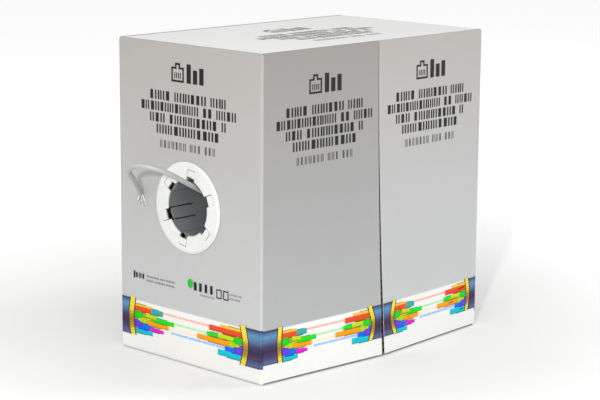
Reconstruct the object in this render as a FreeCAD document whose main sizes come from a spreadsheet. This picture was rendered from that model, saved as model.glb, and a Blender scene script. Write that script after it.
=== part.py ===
import FreeCAD, Part
import math
import os
import re

import Sketcher

# Corrugated pull box for a spool-less coil of network cable.
# Millimetres. +Z is up and the origin is the middle of the base. The payout wall faces -Y, and the
# two sides that open, each closed by two outer and two inner flaps, face +X (right) and -X (left).

SIZES = (
    ("carton_width", 222.0, "outside, along X, between the closed sides"),
    ("carton_depth", 357.0, "outside, along Y, from the payout wall to the rear wall"),
    ("carton_height", 350.0, "outside, along Z"),
    ("board", 4.0, "thickness of the corrugated board"),
    ("fold_gap", 0.2, "clearance between two boards at a fold or where they lie face to face"),
    ("seam_gap_top", 0.8, "gap between the two outer flaps at the top of a seam"),
    ("seam_gap_bottom", 4.4, "the same gap at the bottom of the right seam"),
    ("seam_bulge", 13.4, "how far the right seam stands out at the bottom"),
    ("bulge_power", 1.6, "how fast that bulge fades towards the top"),
    ("inner_flap_length", 120.0, "inner flaps, from the fold to the free edge"),
    ("inner_flap_slot", 4.0, "slot between an inner flap and the wall beside it"),
    ("inner_flap_taper", 0.52, "how much each end of an inner flap runs in, per mm of length"),
    ("lap_width", 35.0, "glued lap of the manufacturer's joint"),
    ("payout_height", 175.0, "axis of the payout tube above the base"),
    ("flange_diameter", 100.0, "payout flange, outside"),
    ("flange_thickness", 2.6, "payout flange"),
    ("bore_diameter", 61.0, "free bore of the payout tube"),
    ("tube_wall", 2.5, "wall of the payout tube"),
    ("tube_reach", 1.5, "how far the payout tube reaches into the coil's core"),
    ("hole_clearance", 1.0, "radial clearance of the payout tube in the wall's hole"),
    ("finger_count", 6.0, "spring fingers round the payout tube"),
    ("finger_turn", 10.0, "turn of the first finger from the top, in degrees"),
    ("finger_width", 12.0, "width of a spring finger"),
    ("finger_length", 36.0, "length of a finger's side slots in the tube"),
    ("finger_slot", 1.4, "width of a finger's side slots"),
    ("window_depth", 4.0, "window at the root of each finger"),
    ("slit_reach", 12.0, "length of the slits in the flange, outwards from the bore"),
    ("slit_width", 0.8, "width of the slits in the flange"),
    ("tab_projection", 4.0, "how far a snap tab stands out of the tube"),
    ("tab_length", 6.0, "snap tab, along the tube"),
    ("tab_angle", 14.0, "snap tab, round the tube, in degrees"),
    ("coil_play", 6.0, "the coil's diameter is this much less than the room between the walls"),
    ("coil_side_play", 5.6, "the coil's width is this much less than the room between the inner flaps"),
    ("core_diameter", 150.0, "open core of the coil"),
    ("coil_clearance", 0.3, "gap under the coil"),
    ("channel_clearance", 1.0, "radial clearance of the coil's payout channel over the snap tabs"),
    ("cable_diameter", 5.6, "jacket of the cable"),
    ("pair_diameter", 1.6, "one twisted pair"),
    ("pair_circle", 1.55, "distance of each pair from the cable's axis at the cut"),
    ("filler_diameter", 1.0, "cross filler"),
    ("rip_cord_diameter", 0.8, "rip cord"),
)

# Route of the free tail, from just inside the mouth of the tube to the cut end.
TAIL_ROUTE = (
    (9, -165, 192), (10, -179, 199), (12, -193, 206), (13, -206, 214), (11, -219, 221),
    (4, -230, 226), (-6, -237, 229), (-18, -240, 228), (-30, -238, 224), (-40, -230, 217),
    (-48, -217, 208), (-57, -204, 199), (-66, -193, 191), (-74, -184, 185),
)

# Route of the lead, from the start of the tail back through the tube to the inside of the coil.
LEAD_ROUTE = (
    (9, -165, 192), (8, -151, 185), (5, -134, 181), (1, -117, 180), (-3, -100, 181), (-8, -83, 184),
    (-14, -67, 189), (-22, -53, 197), (-31, -40, 207), (-40, -29, 219), (-48, -19, 232), (-54, -10, 246),
)

# Bare ends at the cut: angle round the cable's axis, the diameter's name, and the route of the free part.
STRANDS = {
    "pair_blue": (90, "pair_diameter", (
        (-76.2, -181.6, 184.9), (-77.4, -180.6, 181.5), (-76.7, -180.1, 177.3), (-74.8, -180.4, 173.4),
        (-72.6, -180.9, 170.0))),
    "pair_orange": (162, "pair_diameter", (
        (-77.2, -183.0, 184.0), (-79.2, -181.8, 181.9), (-80.4, -181.2, 179.0), (-80.7, -181.3, 175.9))),
    "pair_brown": (234, "pair_diameter", (
        (-76.0, -183.4, 182.4), (-77.0, -182.7, 179.8), (-76.9, -182.8, 176.8), (-75.9, -183.3, 174.2))),
    "pair_green": (306, "pair_diameter", (
        (-74.7, -182.1, 182.5), (-75.1, -181.2, 179.6), (-73.9, -181.2, 176.6), (-71.9, -181.8, 174.2))),
    "rip_cord": (18, "rip_cord_diameter", (
        (-74.6, -181.1, 184.2), (-74.6, -179.9, 181.5), (-73.3, -179.6, 178.4), (-71.3, -179.7, 175.6),
        (-69.4, -180.0, 172.3))),
}
FILLER_ROUTE = ((-74.0, -184.0, 185.0), (-74.8, -183.1, 184.4), (-75.5, -182.2, 183.9))

doc = FreeCAD.newDocument("cable_pull_box")
sheet = doc.addObject("Spreadsheet::Sheet", "Sizes")
for row, (alias, value, note) in enumerate(SIZES, start=1):
    sheet.set(f"A{row}", alias)
    sheet.set(f"B{row}", str(value))
    sheet.setAlias(f"B{row}", alias)
    sheet.set(f"C{row}", note)
doc.recompute()

ALIASES = {alias for alias, _, _ in SIZES}
parts = []


def bound(text):
    """The expression with every named size read from the sheet."""
    return re.sub(r"[a-z_]+", lambda word: f"Sizes.{word[0]}" if word[0] in ALIASES else word[0], text)


def size(text):
    """The present value of an expression of named sizes."""
    return float(sheet.evalExpression(text))


def new_body(name, height="0"):
    """A body whose own origin stands at that height above the base."""
    body = doc.addObject("PartDesign::Body", name)
    body.Label = name
    body.setExpression("Placement.Base.z", bound(height))
    parts.append(body)
    return body


def new_sketch(body, name, plane, offset="0"):
    """A sketch on one of the body's origin planes, moved along the plane's normal."""
    sketch = body.newObject("Sketcher::SketchObject", name)
    support = next(item for item in body.Origin.OriginFeatures if item.Role == plane)
    sketch.AttachmentSupport = [(support, "")]
    sketch.MapMode = "FlatFace"
    sketch.setExpression("AttachmentOffset.Base.z", bound(offset))
    return sketch


def outline(sketch, corners):
    """A closed outline of straight edges, each corner tied to the sheet."""
    points = [FreeCAD.Vector(size(across), size(along), 0) for across, along in corners]
    for index, point in enumerate(points):
        sketch.addGeometry(Part.LineSegment(point, points[(index + 1) % len(points)]), False)
    for index, (across, along) in enumerate(corners):
        sketch.addConstraint(Sketcher.Constraint("Coincident", index - 1 if index else len(corners) - 1,
                                                 2, index, 1))
        for kind, expression in (("DistanceX", across), ("DistanceY", along)):
            place = sketch.addConstraint(Sketcher.Constraint(kind, -1, 1, index, 1, size(expression)))
            sketch.setExpression(f"Constraints[{place}]", bound(expression))


def circle(sketch, radius, height="0"):
    """A circle on the sketch's upright axis."""
    centre = FreeCAD.Vector(0, size(height), 0)
    index = sketch.addGeometry(Part.Circle(centre, FreeCAD.Vector(0, 0, 1), size(radius)), False)
    sketch.addConstraint(Sketcher.Constraint("PointOnObject", index, 3, -2))
    for kind, expression in (("Radius", radius), ("DistanceY", height)):
        if kind == "Radius":
            rule = Sketcher.Constraint(kind, index, size(expression))
        else:
            rule = Sketcher.Constraint(kind, -1, 1, index, 3, size(expression))
        place = sketch.addConstraint(rule)
        sketch.setExpression(f"Constraints[{place}]", bound(expression))


def loft(body, sections, plane):
    """Straight loft through outlines, each given as (offset, corners)."""
    sketches = []
    for number, (offset, corners) in enumerate(sections):
        sketch = new_sketch(body, f"{body.Name}_outline_{number}", plane, offset)
        outline(sketch, corners)
        sketches.append(sketch)
    feature = body.newObject("PartDesign::AdditiveLoft", f"{body.Name}_loft")
    feature.Profile = sketches[0]
    feature.Sections = sketches[1:]
    feature.Ruled = True
    body.Tip = feature
    return feature


def rectangle(half_across, low, high):
    """Corners of a rectangle that is centred across and runs from low to high."""
    return ((f"-({half_across})", low), (half_across, low), (half_across, high), (f"-({half_across})", high))


def cut(body, name, plane, offset, corners, length, reverse=False):
    """A straight pocket with an outline of straight edges."""
    sketch = new_sketch(body, f"{name}_sketch", plane, offset)
    outline(sketch, corners)
    pocket = body.newObject("PartDesign::Pocket", name)
    pocket.Profile = sketch
    pocket.Reversed = reverse
    pocket.setExpression("Length", bound(length))
    body.Tip = pocket
    return pocket


def around(body, feature, axis="Y_Axis", count="finger_count"):
    """The feature repeated evenly round one of the body's axes."""
    pattern = body.newObject("PartDesign::PolarPattern", f"{feature.Name}_pattern")
    pattern.Originals = [feature]
    support = next(item for item in body.Origin.OriginFeatures if item.Role == axis)
    pattern.Axis = (support, [""])
    pattern.Angle = 360
    pattern.setExpression("Occurrences", bound(count))
    body.Tip = pattern
    return pattern


# --- carton walls: each is a loft from its outer to its inner outline, so the folds are mitred ---

def upright_wall(name, side):
    """Payout wall (side +1 on the sketch plane's normal, towards -Y) or rear wall."""
    body = new_body(name)
    sign = "" if side > 0 else "-"
    loft(body, (
        (f"{sign}carton_depth / 2", rectangle("carton_width / 2", "0", "carton_height")),
        (f"{sign}(carton_depth / 2 - board)",
         rectangle("carton_width / 2 - board", "board", "carton_height - board")),
    ), "XZ_Plane")
    return body


def level_wall(name, outer, inner):
    """Top or bottom wall, short of the outer flaps on both open sides."""
    body = new_body(name)
    half = "carton_width / 2 - board - fold_gap"
    loft(body, (
        (outer, rectangle(half, "-(carton_depth / 2)", "carton_depth / 2")),
        (inner, rectangle(f"{half} - board", "-(carton_depth / 2 - board)", "carton_depth / 2 - board")),
    ), "XY_Plane")


front_wall = upright_wall("front_wall", 1)
upright_wall("rear_wall", -1)
level_wall("top_wall", "carton_height", "carton_height - board")
level_wall("bottom_wall", "0", "board")

hole_sketch = new_sketch(front_wall, "payout_hole_sketch", "XZ_Plane", "carton_depth / 2")
circle(hole_sketch, "bore_diameter / 2 + tube_wall + hole_clearance", "payout_height")
hole = front_wall.newObject("PartDesign::Pocket", "payout_hole")
hole.Profile = hole_sketch
hole.setExpression("Length", bound("2 * board"))
front_wall.Tip = hole

glue_lap = new_body("glue_lap")
loft(glue_lap, (
    ("-(carton_depth / 2 - board)", rectangle("carton_width / 2 - 2 * board - fold_gap", "board", "lap_width")),
    ("-(carton_depth / 2 - 2 * board)",
     rectangle("carton_width / 2 - 2 * board - fold_gap", "board", "lap_width")),
), "XZ_Plane")


# --- flaps ---

def outer_flap(name, side, end, bulge, gap_growth):
    """Half of an open side, folded from the payout wall (end -1) or the rear wall (end +1).

    side is +1 on the right. The free edge stands out and the seam widens towards the bottom."""
    body = new_body(name)
    sections = []
    for third in range(4):
        fade = f"pow(1 - {third} / 3; bulge_power)"
        out = f"({bulge}) * {fade}"
        half_gap = f"(seam_gap_top + ({gap_growth}) * {fade}) / 2"
        sections.append((f"carton_height * {third} / 3", (
            (f"{side} * carton_width / 2", f"{end} * (carton_depth / 2 - fold_gap)"),
            (f"{side} * (carton_width / 2 - board)", f"{end} * (carton_depth / 2 - board - fold_gap)"),
            (f"{side} * (carton_width / 2 - board + {out})", f"{end} * {half_gap}"),
            (f"{side} * (carton_width / 2 + {out})", f"{end} * {half_gap}"),
        )))
    loft(body, sections, "XY_Plane")


def inner_flap(name, side, fold, inward):
    """Tapered flap behind the outer ones: fold is its height at the score, inward runs to its free edge."""
    body = new_body(name)
    root = "(carton_depth / 2 - board - inner_flap_slot)"
    tip = f"({root} - inner_flap_taper * inner_flap_length)"
    free = f"{fold} + {inward} * inner_flap_length"
    sections = []
    for layer in range(2):
        score = f"{fold} + {inward} * {layer} * board"
        sections.append((f"{side} * (carton_width / 2 - board - fold_gap - {layer} * board)", (
            (f"-{root}", score), (root, score), (tip, free), (f"-{tip}", free),
        )))
    loft(body, sections, "YZ_Plane")


for side_name, side, bulge, growth in (
        ("right", 1, "seam_bulge", "seam_gap_bottom - seam_gap_top"),
        ("left", -1, "0 * seam_bulge", "0 * seam_gap_bottom")):
    outer_flap(f"{side_name}_front_flap", side, -1, bulge, growth)
    outer_flap(f"{side_name}_rear_flap", side, 1, bulge, growth)
    inner_flap(f"{side_name}_upper_flap", side, "carton_height", -1)
    inner_flap(f"{side_name}_lower_flap", side, "0", 1)


# --- payout fitting: its own origin is on the tube's axis, level with the middle of the carton ---

def payout_body(name):
    """A body on the payout axis, turned so that its first finger is off the top."""
    body = new_body(name, "payout_height")
    body.Placement = FreeCAD.Placement(FreeCAD.Vector(0, 0, size("payout_height")),
                                       FreeCAD.Rotation(FreeCAD.Vector(0, 1, 0), size("finger_turn")))
    body.setExpression("Placement.Rotation.Angle", bound("finger_turn"))
    return body


def turned(body, corners, angle="360"):
    """A revolution about the payout axis of an outline given as (radius, place along Y)."""
    sketch = new_sketch(body, f"{body.Name}_profile", "XY_Plane")
    outline(sketch, corners)
    feature = body.newObject("PartDesign::Revolution", f"{body.Name}_turned")
    feature.Profile = sketch
    feature.ReferenceAxis = (sketch, ["V_Axis"])
    feature.setExpression("Angle", bound(angle))
    body.Tip = feature
    return feature


FACE = "-(carton_depth / 2)"
BORE = "bore_diameter / 2"
TUBE_END = "-(core_diameter / 2 - tube_reach)"

payout_flange = payout_body("payout_flange")
turned(payout_flange, (
    (BORE, FACE),
    ("flange_diameter / 2", FACE),
    ("flange_diameter / 2", f"{FACE} - flange_thickness / 2"),
    ("flange_diameter / 2 - flange_thickness", f"{FACE} - flange_thickness"),
    (f"{BORE} + flange_thickness / 2", f"{FACE} - flange_thickness"),
    (BORE, f"{FACE} - flange_thickness / 2"),
))
window = cut(payout_flange, "flange_window", "XZ_Plane", "carton_depth / 2 + 2 * flange_thickness",
             rectangle("finger_width / 2", f"{BORE} - window_depth", f"{BORE} + window_depth"),
             "3 * flange_thickness")
around(payout_flange, window)
slit = cut(payout_flange, "flange_slit", "XZ_Plane", "carton_depth / 2 + 2 * flange_thickness", (
    ("-(finger_width / 2)", f"{BORE} + window_depth / 2"),
    ("-(finger_width / 2 - slit_width)", f"{BORE} + window_depth / 2"),
    ("-(finger_width / 2 - slit_width)", f"{BORE} + slit_reach - slit_width"),
    ("finger_width / 2", f"{BORE} + slit_reach - slit_width"),
    ("finger_width / 2", f"{BORE} + slit_reach"),
    ("-(finger_width / 2)", f"{BORE} + slit_reach"),
), "3 * flange_thickness")
around(payout_flange, slit)

payout_tube = payout_body("payout_tube")
turned(payout_tube, (
    (BORE, FACE),
    (f"{BORE} + tube_wall", FACE),
    (f"{BORE} + tube_wall", TUBE_END),
    (BORE, TUBE_END),
))
finger = cut(payout_tube, "finger_cut", "XY_Plane", "0", (
    ("-(finger_width / 2 + finger_slot)", f"{FACE} - board"),
    ("finger_width / 2 + finger_slot", f"{FACE} - board"),
    ("finger_width / 2 + finger_slot", f"{FACE} + finger_length"),
    ("finger_width / 2", f"{FACE} + finger_length"),
    ("finger_width / 2", f"{FACE} + board"),
    ("-(finger_width / 2)", f"{FACE} + board"),
    ("-(finger_width / 2)", f"{FACE} + finger_length"),
    ("-(finger_width / 2 + finger_slot)", f"{FACE} + finger_length"),
), "bore_diameter", True)
around(payout_tube, finger)

snap_tabs = payout_body("snap_tabs")
snap_tabs.AllowCompound = True
BEHIND = f"{FACE} + board + 2 * fold_gap"
tab = turned(snap_tabs, (
    (f"{BORE} + tube_wall", BEHIND),
    (f"{BORE} + tube_wall + tab_projection", BEHIND),
    (f"{BORE} + tube_wall + tab_projection", f"{BEHIND} + tab_length / 4"),
    (f"{BORE} + tube_wall", f"{BEHIND} + tab_length"),
), "tab_angle")
tab.Midplane = True
around(snap_tabs, tab)


# --- the wound coil ---

COIL_DIAMETER = "(min(carton_depth; carton_height) - 2 * board - coil_play)"
COIL_WIDTH = "(carton_width - 4 * board - 2 * fold_gap - coil_side_play)"
COIL_HEIGHT = f"board + coil_clearance + {COIL_DIAMETER} / 2"

coil = new_body("cable_coil", COIL_HEIGHT)
ring_sketch = new_sketch(coil, "coil_ring", "YZ_Plane", f"-({COIL_WIDTH} / 2)")
circle(ring_sketch, f"{COIL_DIAMETER} / 2")
circle(ring_sketch, "core_diameter / 2")
ring = coil.newObject("PartDesign::Pad", "coil_winding")
ring.Profile = ring_sketch
ring.setExpression("Length", bound(COIL_WIDTH))
channel_sketch = new_sketch(coil, "channel_ring", "XZ_Plane", "0")
circle(channel_sketch, f"{BORE} + tube_wall + tab_projection + channel_clearance",
       f"payout_height - ({COIL_HEIGHT})")
channel = coil.newObject("PartDesign::Pocket", "payout_channel")
channel.Profile = channel_sketch
channel.Reversed = True
channel.setExpression("Length", bound(COIL_DIAMETER))
coil.Tip = channel


# --- cable: straight runs joined by tangent arcs ---

def corner_radius(before, corner, after):
    """Largest arc that 0.45 of the shorter run allows at this corner."""
    turn = (corner - before).getAngle(after - corner)
    return 0.45 * min((corner - before).Length, (after - corner).Length) / math.tan(turn / 2), turn


def cable_solid(name, route, diameter):
    """A round section carried along a route of runs and arcs, with its volume compared."""
    points = [FreeCAD.Vector(*point) for point in route]
    edges = []
    start = points[0]
    radii = []
    for before, corner, after in zip(points, points[1:], points[2:]):
        radius, turn = corner_radius(before, corner, after)
        radii.append(round(radius, 1))
        setback = radius * math.tan(turn / 2)
        inward = (before - corner).normalize()
        outward = (after - corner).normalize()
        bisector = (inward + outward).normalize()
        entry = corner + inward * setback
        leave = corner + outward * setback
        middle = corner + bisector * (radius / math.cos(turn / 2) - radius)
        edges.append(Part.LineSegment(start, entry).toShape())
        edges.append(Part.Arc(entry, middle, leave).toShape())
        start = leave
    edges.append(Part.LineSegment(start, points[-1]).toShape())
    path = Part.Wire(edges)
    ring_edge = Part.Circle(points[0], (points[1] - points[0]).normalize(), diameter / 2).toShape()
    solid = path.makePipeShell([Part.Wire([ring_edge])], True, False)
    expected = math.pi * diameter ** 2 / 4 * path.Length
    print(f"{name}: length {path.Length:.1f}, radii {radii}, volume ratio {solid.Volume / expected:.4f}")
    if abs(solid.Volume / expected - 1) > 0.01:
        raise ValueError(f"{name}: the swept volume does not match its section and length")
    feature = doc.addObject("Part::Feature", name)
    feature.Label = name
    feature.Shape = solid
    feature.Placement = FreeCAD.Placement()
    parts.append(feature)


def strand_start(angle, straight=1.2):
    """The first two points of a strand, which leaves the cut face square to it."""
    end = FreeCAD.Vector(*TAIL_ROUTE[-1])
    along = (end - FreeCAD.Vector(*TAIL_ROUTE[-2])).normalize()
    level = along.cross(FreeCAD.Vector(0, 0, 1)).normalize()
    upright = level.cross(along)
    turn = math.radians(angle)
    start = end + (level * math.cos(turn) + upright * math.sin(turn)) * size("pair_circle")
    return tuple(start), tuple(start + along * straight)


cable_solid("cable_tail", TAIL_ROUTE, size("cable_diameter"))
cable_solid("coil_lead", LEAD_ROUTE, size("cable_diameter"))
for strand_name, (angle, thickness, strand_route) in STRANDS.items():
    cable_solid(strand_name, strand_start(angle) + strand_route, size(thickness))
cable_solid("cross_filler", FILLER_ROUTE, size("filler_diameter"))

doc.recompute()

for item in doc.Objects:
    if "Invalid" in item.State or "Error" in item.State:
        raise ValueError(f"{item.Name} failed: {item.State}")
for item in parts:
    if item.Shape.isNull() or not item.Shape.isValid():
        raise ValueError(f"{item.Label} has no valid shape")

ring_volume = math.pi / 4 * (size(COIL_DIAMETER) ** 2 - size("core_diameter") ** 2) * size(COIL_WIDTH)
if not 0.9 * ring_volume < coil.Shape.Volume < ring_volume:
    raise ValueError("the coil's payout channel was not cut through one wall")

os.makedirs("parts", exist_ok=True)
for item in parts:
    item.Shape.exportStep(f"parts/{item.Label}.step")
    print(f"{item.Label}: {item.Shape.Volume:.0f} mm3, {len(item.Shape.Solids)} solid(s)")
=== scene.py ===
"""Network cable pull box: the looks of its carton, payout fitting and cable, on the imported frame."""

import math
import random

import bmesh
import bpy
from bpy.props import FloatProperty, FloatVectorProperty, IntProperty, PointerProperty
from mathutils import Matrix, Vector


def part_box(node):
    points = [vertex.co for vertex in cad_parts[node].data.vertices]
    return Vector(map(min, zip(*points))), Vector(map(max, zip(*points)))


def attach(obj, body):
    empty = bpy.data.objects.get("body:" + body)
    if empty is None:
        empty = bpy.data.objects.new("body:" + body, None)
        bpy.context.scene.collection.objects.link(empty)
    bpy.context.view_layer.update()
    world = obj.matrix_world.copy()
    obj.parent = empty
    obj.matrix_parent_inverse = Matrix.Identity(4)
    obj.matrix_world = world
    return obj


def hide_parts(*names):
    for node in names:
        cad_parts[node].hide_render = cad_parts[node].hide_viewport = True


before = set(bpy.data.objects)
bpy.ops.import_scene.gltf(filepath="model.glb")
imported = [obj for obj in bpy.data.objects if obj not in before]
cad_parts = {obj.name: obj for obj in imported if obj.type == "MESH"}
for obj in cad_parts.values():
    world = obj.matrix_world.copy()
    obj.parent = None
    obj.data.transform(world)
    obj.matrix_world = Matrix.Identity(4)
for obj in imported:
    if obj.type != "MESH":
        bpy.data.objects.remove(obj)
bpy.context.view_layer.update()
WALL_LOW, WALL_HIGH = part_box("front_wall")
COIL_LOW, COIL_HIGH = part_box("cable_coil")
RING_LOW, RING_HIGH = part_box("payout_flange")
TUBE_LOW, TUBE_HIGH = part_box("payout_tube")

bl_info = {
    "name": "Network cable pull box",
    "version": (1, 0, 0),
    "blender": (4, 5, 0),
    "location": "View3D > Sidebar > Pull box",
    "description": "Builds a corrugated pull box with a payout fitting and a wound coil of network cable",
    "category": "Add Mesh",
}


# ---------------------------------------------------------------- sizes and colours


class CartonSizes(bpy.types.PropertyGroup):
    """Sizes of the corrugated carton."""

    width: FloatProperty(
        name="Width", description="Outer size across the payout wall",
        default=WALL_HIGH.x - WALL_LOW.x, unit="LENGTH",
    )
    depth: FloatProperty(
        name="Depth", description="Outer size from payout wall to rear wall",
        default=-2 * WALL_LOW.y, unit="LENGTH",
    )
    height: FloatProperty(
        name="Height", description="Outer height",
        default=WALL_HIGH.z, unit="LENGTH",
    )
    board: FloatProperty(
        name="Board", description="Thickness of the corrugated board",
        default=0.004, unit="LENGTH",
    )
    liner: FloatProperty(
        name="Liner", description="Thickness of each paper liner",
        default=0.0004, unit="LENGTH",
    )
    flute: FloatProperty(
        name="Flute pitch", description="Distance from one flute to the next",
        default=0.0072, unit="LENGTH",
    )
    crease: FloatProperty(
        name="Crease radius", description="Outer radius of a folded score",
        default=0.0024, unit="LENGTH",
    )
    foot_roll: FloatProperty(
        name="Foot roll", description="Outer radius of the scores that stand on the floor",
        default=0.0040, unit="LENGTH",
    )
    fold_gap: FloatProperty(
        name="Fold gap", description="Clearance between a wall and the flap folded off it",
        default=0.0002, unit="LENGTH",
    )
    bulge: FloatProperty(
        name="Bulge", description="How far the right seam stands out at the bottom",
        default=0.0134, unit="LENGTH",
    )
    bulge_power: FloatProperty(
        name="Bulge power", description="How fast the bulge fades towards the top",
        default=1.6,
    )
    seam_top: FloatProperty(
        name="Seam gap at top", description="Gap between two outer flaps at the top",
        default=0.0008, unit="LENGTH",
    )
    seam_bottom: FloatProperty(
        name="Seam gap at bottom", description="Gap between the right outer flaps at the bottom",
        default=0.0044, unit="LENGTH",
    )
    foot_trim: FloatProperty(
        name="Foot trim", description="How far an outer flap's lower cut edge stays above the floor",
        default=0.0024, unit="LENGTH",
    )
    head_trim: FloatProperty(
        name="Head trim", description="How far an outer flap's upper cut edge stays below the top",
        default=0.0006, unit="LENGTH",
    )
    inner_flap: FloatProperty(
        name="Inner flap length", description="Length of the upper and lower flaps",
        default=0.120, unit="LENGTH",
    )
    inner_taper: FloatProperty(
        name="Inner flap taper", description="Sideways taper of an inner flap per length",
        default=0.52,
    )


class CartonColours(bpy.types.PropertyGroup):
    """Colours of the board and its print."""

    # The three greys make the walls' print darker towards the top.
    print_high: FloatVectorProperty(
        name="Print at the top", description="Grey of the printed gradient at the top",
        subtype="COLOR", size=3, default=(0.287, 0.2725, 0.257),
    )
    print_middle: FloatVectorProperty(
        name="Print at the middle", description="Grey of the printed gradient half way up",
        subtype="COLOR", size=3, default=(0.330, 0.330, 0.328),
    )
    print_low: FloatVectorProperty(
        name="Print above the band", description="Grey of the printed gradient just above the band",
        subtype="COLOR", size=3, default=(0.390, 0.3985, 0.3985),
    )
    foot: FloatVectorProperty(
        name="Foot", description="White of the unprinted board at the foot",
        subtype="COLOR", size=3, default=(0.62, 0.62, 0.605),
    )
    lid: FloatVectorProperty(
        name="Top", description="White of the top wall",
        subtype="COLOR", size=3, default=(0.615, 0.615, 0.605),
    )
    kraft: FloatVectorProperty(
        name="Kraft", description="Brown of the inner liner",
        subtype="COLOR", size=3, default=(0.32, 0.205, 0.108),
    )
    # The medium's brown is made very dark as painted shade, for the shadow inside the seam gaps and behind
    # the cut edges.
    medium: FloatVectorProperty(
        name="Medium", description="Brown of the fluted medium",
        subtype="COLOR", size=3, default=(0.06, 0.035, 0.018),
    )
    # Painted shade: the front flaps' grey is multiplied by this share, so they read as turned further from
    # the light than the other panels.
    front_flap_painted_shade: FloatProperty(
        name="Front flap print", description="Share of the print's grey that the front flaps show",
        default=0.79, min=0.5, max=1,
    )
    ink: FloatVectorProperty(
        name="Ink", description="Black of the printed marks",
        subtype="COLOR", size=3, default=(0.012, 0.011, 0.011),
    )


class PayoutSizes(bpy.types.PropertyGroup):
    """Sizes and colours of the payout fitting."""

    edge: FloatProperty(
        name="Edge radius", description="Rounding of the moulded edges",
        default=0.0005, unit="LENGTH",
    )
    height: FloatProperty(
        name="Height", description="Height of the payout axis above the floor",
        default=(RING_LOW.z + RING_HIGH.z) / 2, unit="LENGTH",
    )
    hole: FloatProperty(
        name="Hole radius", description="Radius of the hole in the payout wall",
        default=0.0385, unit="LENGTH",
    )
    flange_colour: FloatVectorProperty(
        name="Flange", description="White of the flange",
        subtype="COLOR", size=3, default=(0.56, 0.569, 0.56),
    )
    tube_colour: FloatVectorProperty(
        name="Tube", description="Grey of the tube",
        subtype="COLOR", size=3, default=(0.153, 0.159, 0.165),
    )


class CableSizes(bpy.types.PropertyGroup):
    """Sizes and colours of the cable, its wires and its coil."""

    diameter: FloatProperty(
        name="Cable diameter", description="Outer diameter of the jacket",
        default=0.0056, unit="LENGTH",
    )
    pair: FloatProperty(
        name="Pair diameter", description="Diameter over one twisted pair",
        default=0.0016, unit="LENGTH",
    )
    pair_circle: FloatProperty(
        name="Pair circle", description="Distance of each pair from the cable's axis",
        default=0.00155, unit="LENGTH",
    )
    turns: IntProperty(
        name="Turns", description="Turns of cable shown in the coil",
        default=318, min=1,
    )
    core: FloatProperty(
        name="Core radius", description="Inner radius of the coil",
        default=0.075, unit="LENGTH",
    )
    channel: FloatProperty(
        name="Channel radius", description="Radius of the gap the turns leave for the payout tube",
        default=0.0385, unit="LENGTH",
    )
    jacket: FloatVectorProperty(
        name="Jacket", description="Pale grey of the jacket",
        subtype="COLOR", size=3, default=(0.332, 0.344, 0.316),
    )


# ---------------------------------------------------------------- finishes


def node(tree, kind, **values):
    """Adds a node and sets its fields, or its inputs where the key names one."""
    made = tree.nodes.new(kind)
    for key, value in values.items():
        if hasattr(made, key):
            setattr(made, key, value)
        else:
            made.inputs[key.replace("_", " ")].default_value = value
    return made


def new_finish(name):
    """An empty material, with its tree and its shader."""
    made = bpy.data.materials.new(name)
    made.use_nodes = True
    tree = made.node_tree
    return made, tree, tree.nodes["Principled BSDF"]


def object_axis(tree, axis):
    """One object coordinate, in metres."""
    place = node(tree, "ShaderNodeTexCoord")
    split = node(tree, "ShaderNodeSeparateXYZ")
    tree.links.new(place.outputs["Object"], split.inputs[0])
    return split.outputs[axis]


def noise(tree, scale, detail=4.0, stretch=(1, 1, 1)):
    """Noise on object coordinates, stretched along the axes."""
    place = node(tree, "ShaderNodeTexCoord")
    mapping = node(tree, "ShaderNodeMapping")
    mapping.inputs["Scale"].default_value = stretch
    texture = node(tree, "ShaderNodeTexNoise", Scale=scale, Detail=detail)
    tree.links.new(place.outputs["Object"], mapping.inputs["Vector"])
    tree.links.new(mapping.outputs[0], texture.inputs["Vector"])
    return texture.outputs["Fac"]


def sum_of(tree, first, first_share, second, second_share):
    """first times its share plus second times its share."""
    one = node(tree, "ShaderNodeMath", operation="MULTIPLY")
    one.inputs[1].default_value = first_share
    two = node(tree, "ShaderNodeMath", operation="MULTIPLY_ADD")
    two.inputs[1].default_value = second_share
    tree.links.new(first, one.inputs[0])
    tree.links.new(second, two.inputs[0])
    tree.links.new(one.outputs[0], two.inputs[2])
    return two.outputs[0]


def ramp(tree, value, stops):
    """A colour ramp through (place, colour) stops."""
    made = node(tree, "ShaderNodeValToRGB")
    band = made.color_ramp
    while len(band.elements) < len(stops):
        band.elements.new(0.5)
    for element, (place, colour) in zip(band.elements, stops):
        element.position = place
        element.color = (*colour[:3], 1)
    tree.links.new(value, made.inputs[0])
    return made.outputs[0]


def mottle(tree, colour, value, low, high):
    """colour multiplied by a grey that goes from low to high with value."""
    spread = node(tree, "ShaderNodeMapRange")
    spread.inputs["To Min"].default_value = low
    spread.inputs["To Max"].default_value = high
    mixed = node(tree, "ShaderNodeMix", data_type="RGBA", blend_type="MULTIPLY")
    mixed.inputs["Factor"].default_value = 1
    tree.links.new(value, spread.inputs["Value"])
    tree.links.new(colour, mixed.inputs[6])
    tree.links.new(spread.outputs[0], mixed.inputs[7])
    return mixed.outputs[2]


def roughened(tree, shader, value, low, high):
    """Roughness that goes from low to high with value."""
    spread = node(tree, "ShaderNodeMapRange")
    spread.inputs["To Min"].default_value = low
    spread.inputs["To Max"].default_value = high
    tree.links.new(value, spread.inputs["Value"])
    tree.links.new(spread.outputs[0], shader.inputs["Roughness"])


def shaded(colour, share):
    """A colour made darker or paler by a share."""
    return [min(1, share * c) for c in colour]


def bumped(tree, shader, height, distance, strength=1.0):
    """Feeds a height, in parts of distance, to the shader's normal."""
    made = node(tree, "ShaderNodeBump", Strength=strength, Distance=distance)
    tree.links.new(height, made.inputs["Height"])
    tree.links.new(made.outputs[0], shader.inputs["Normal"])


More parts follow.
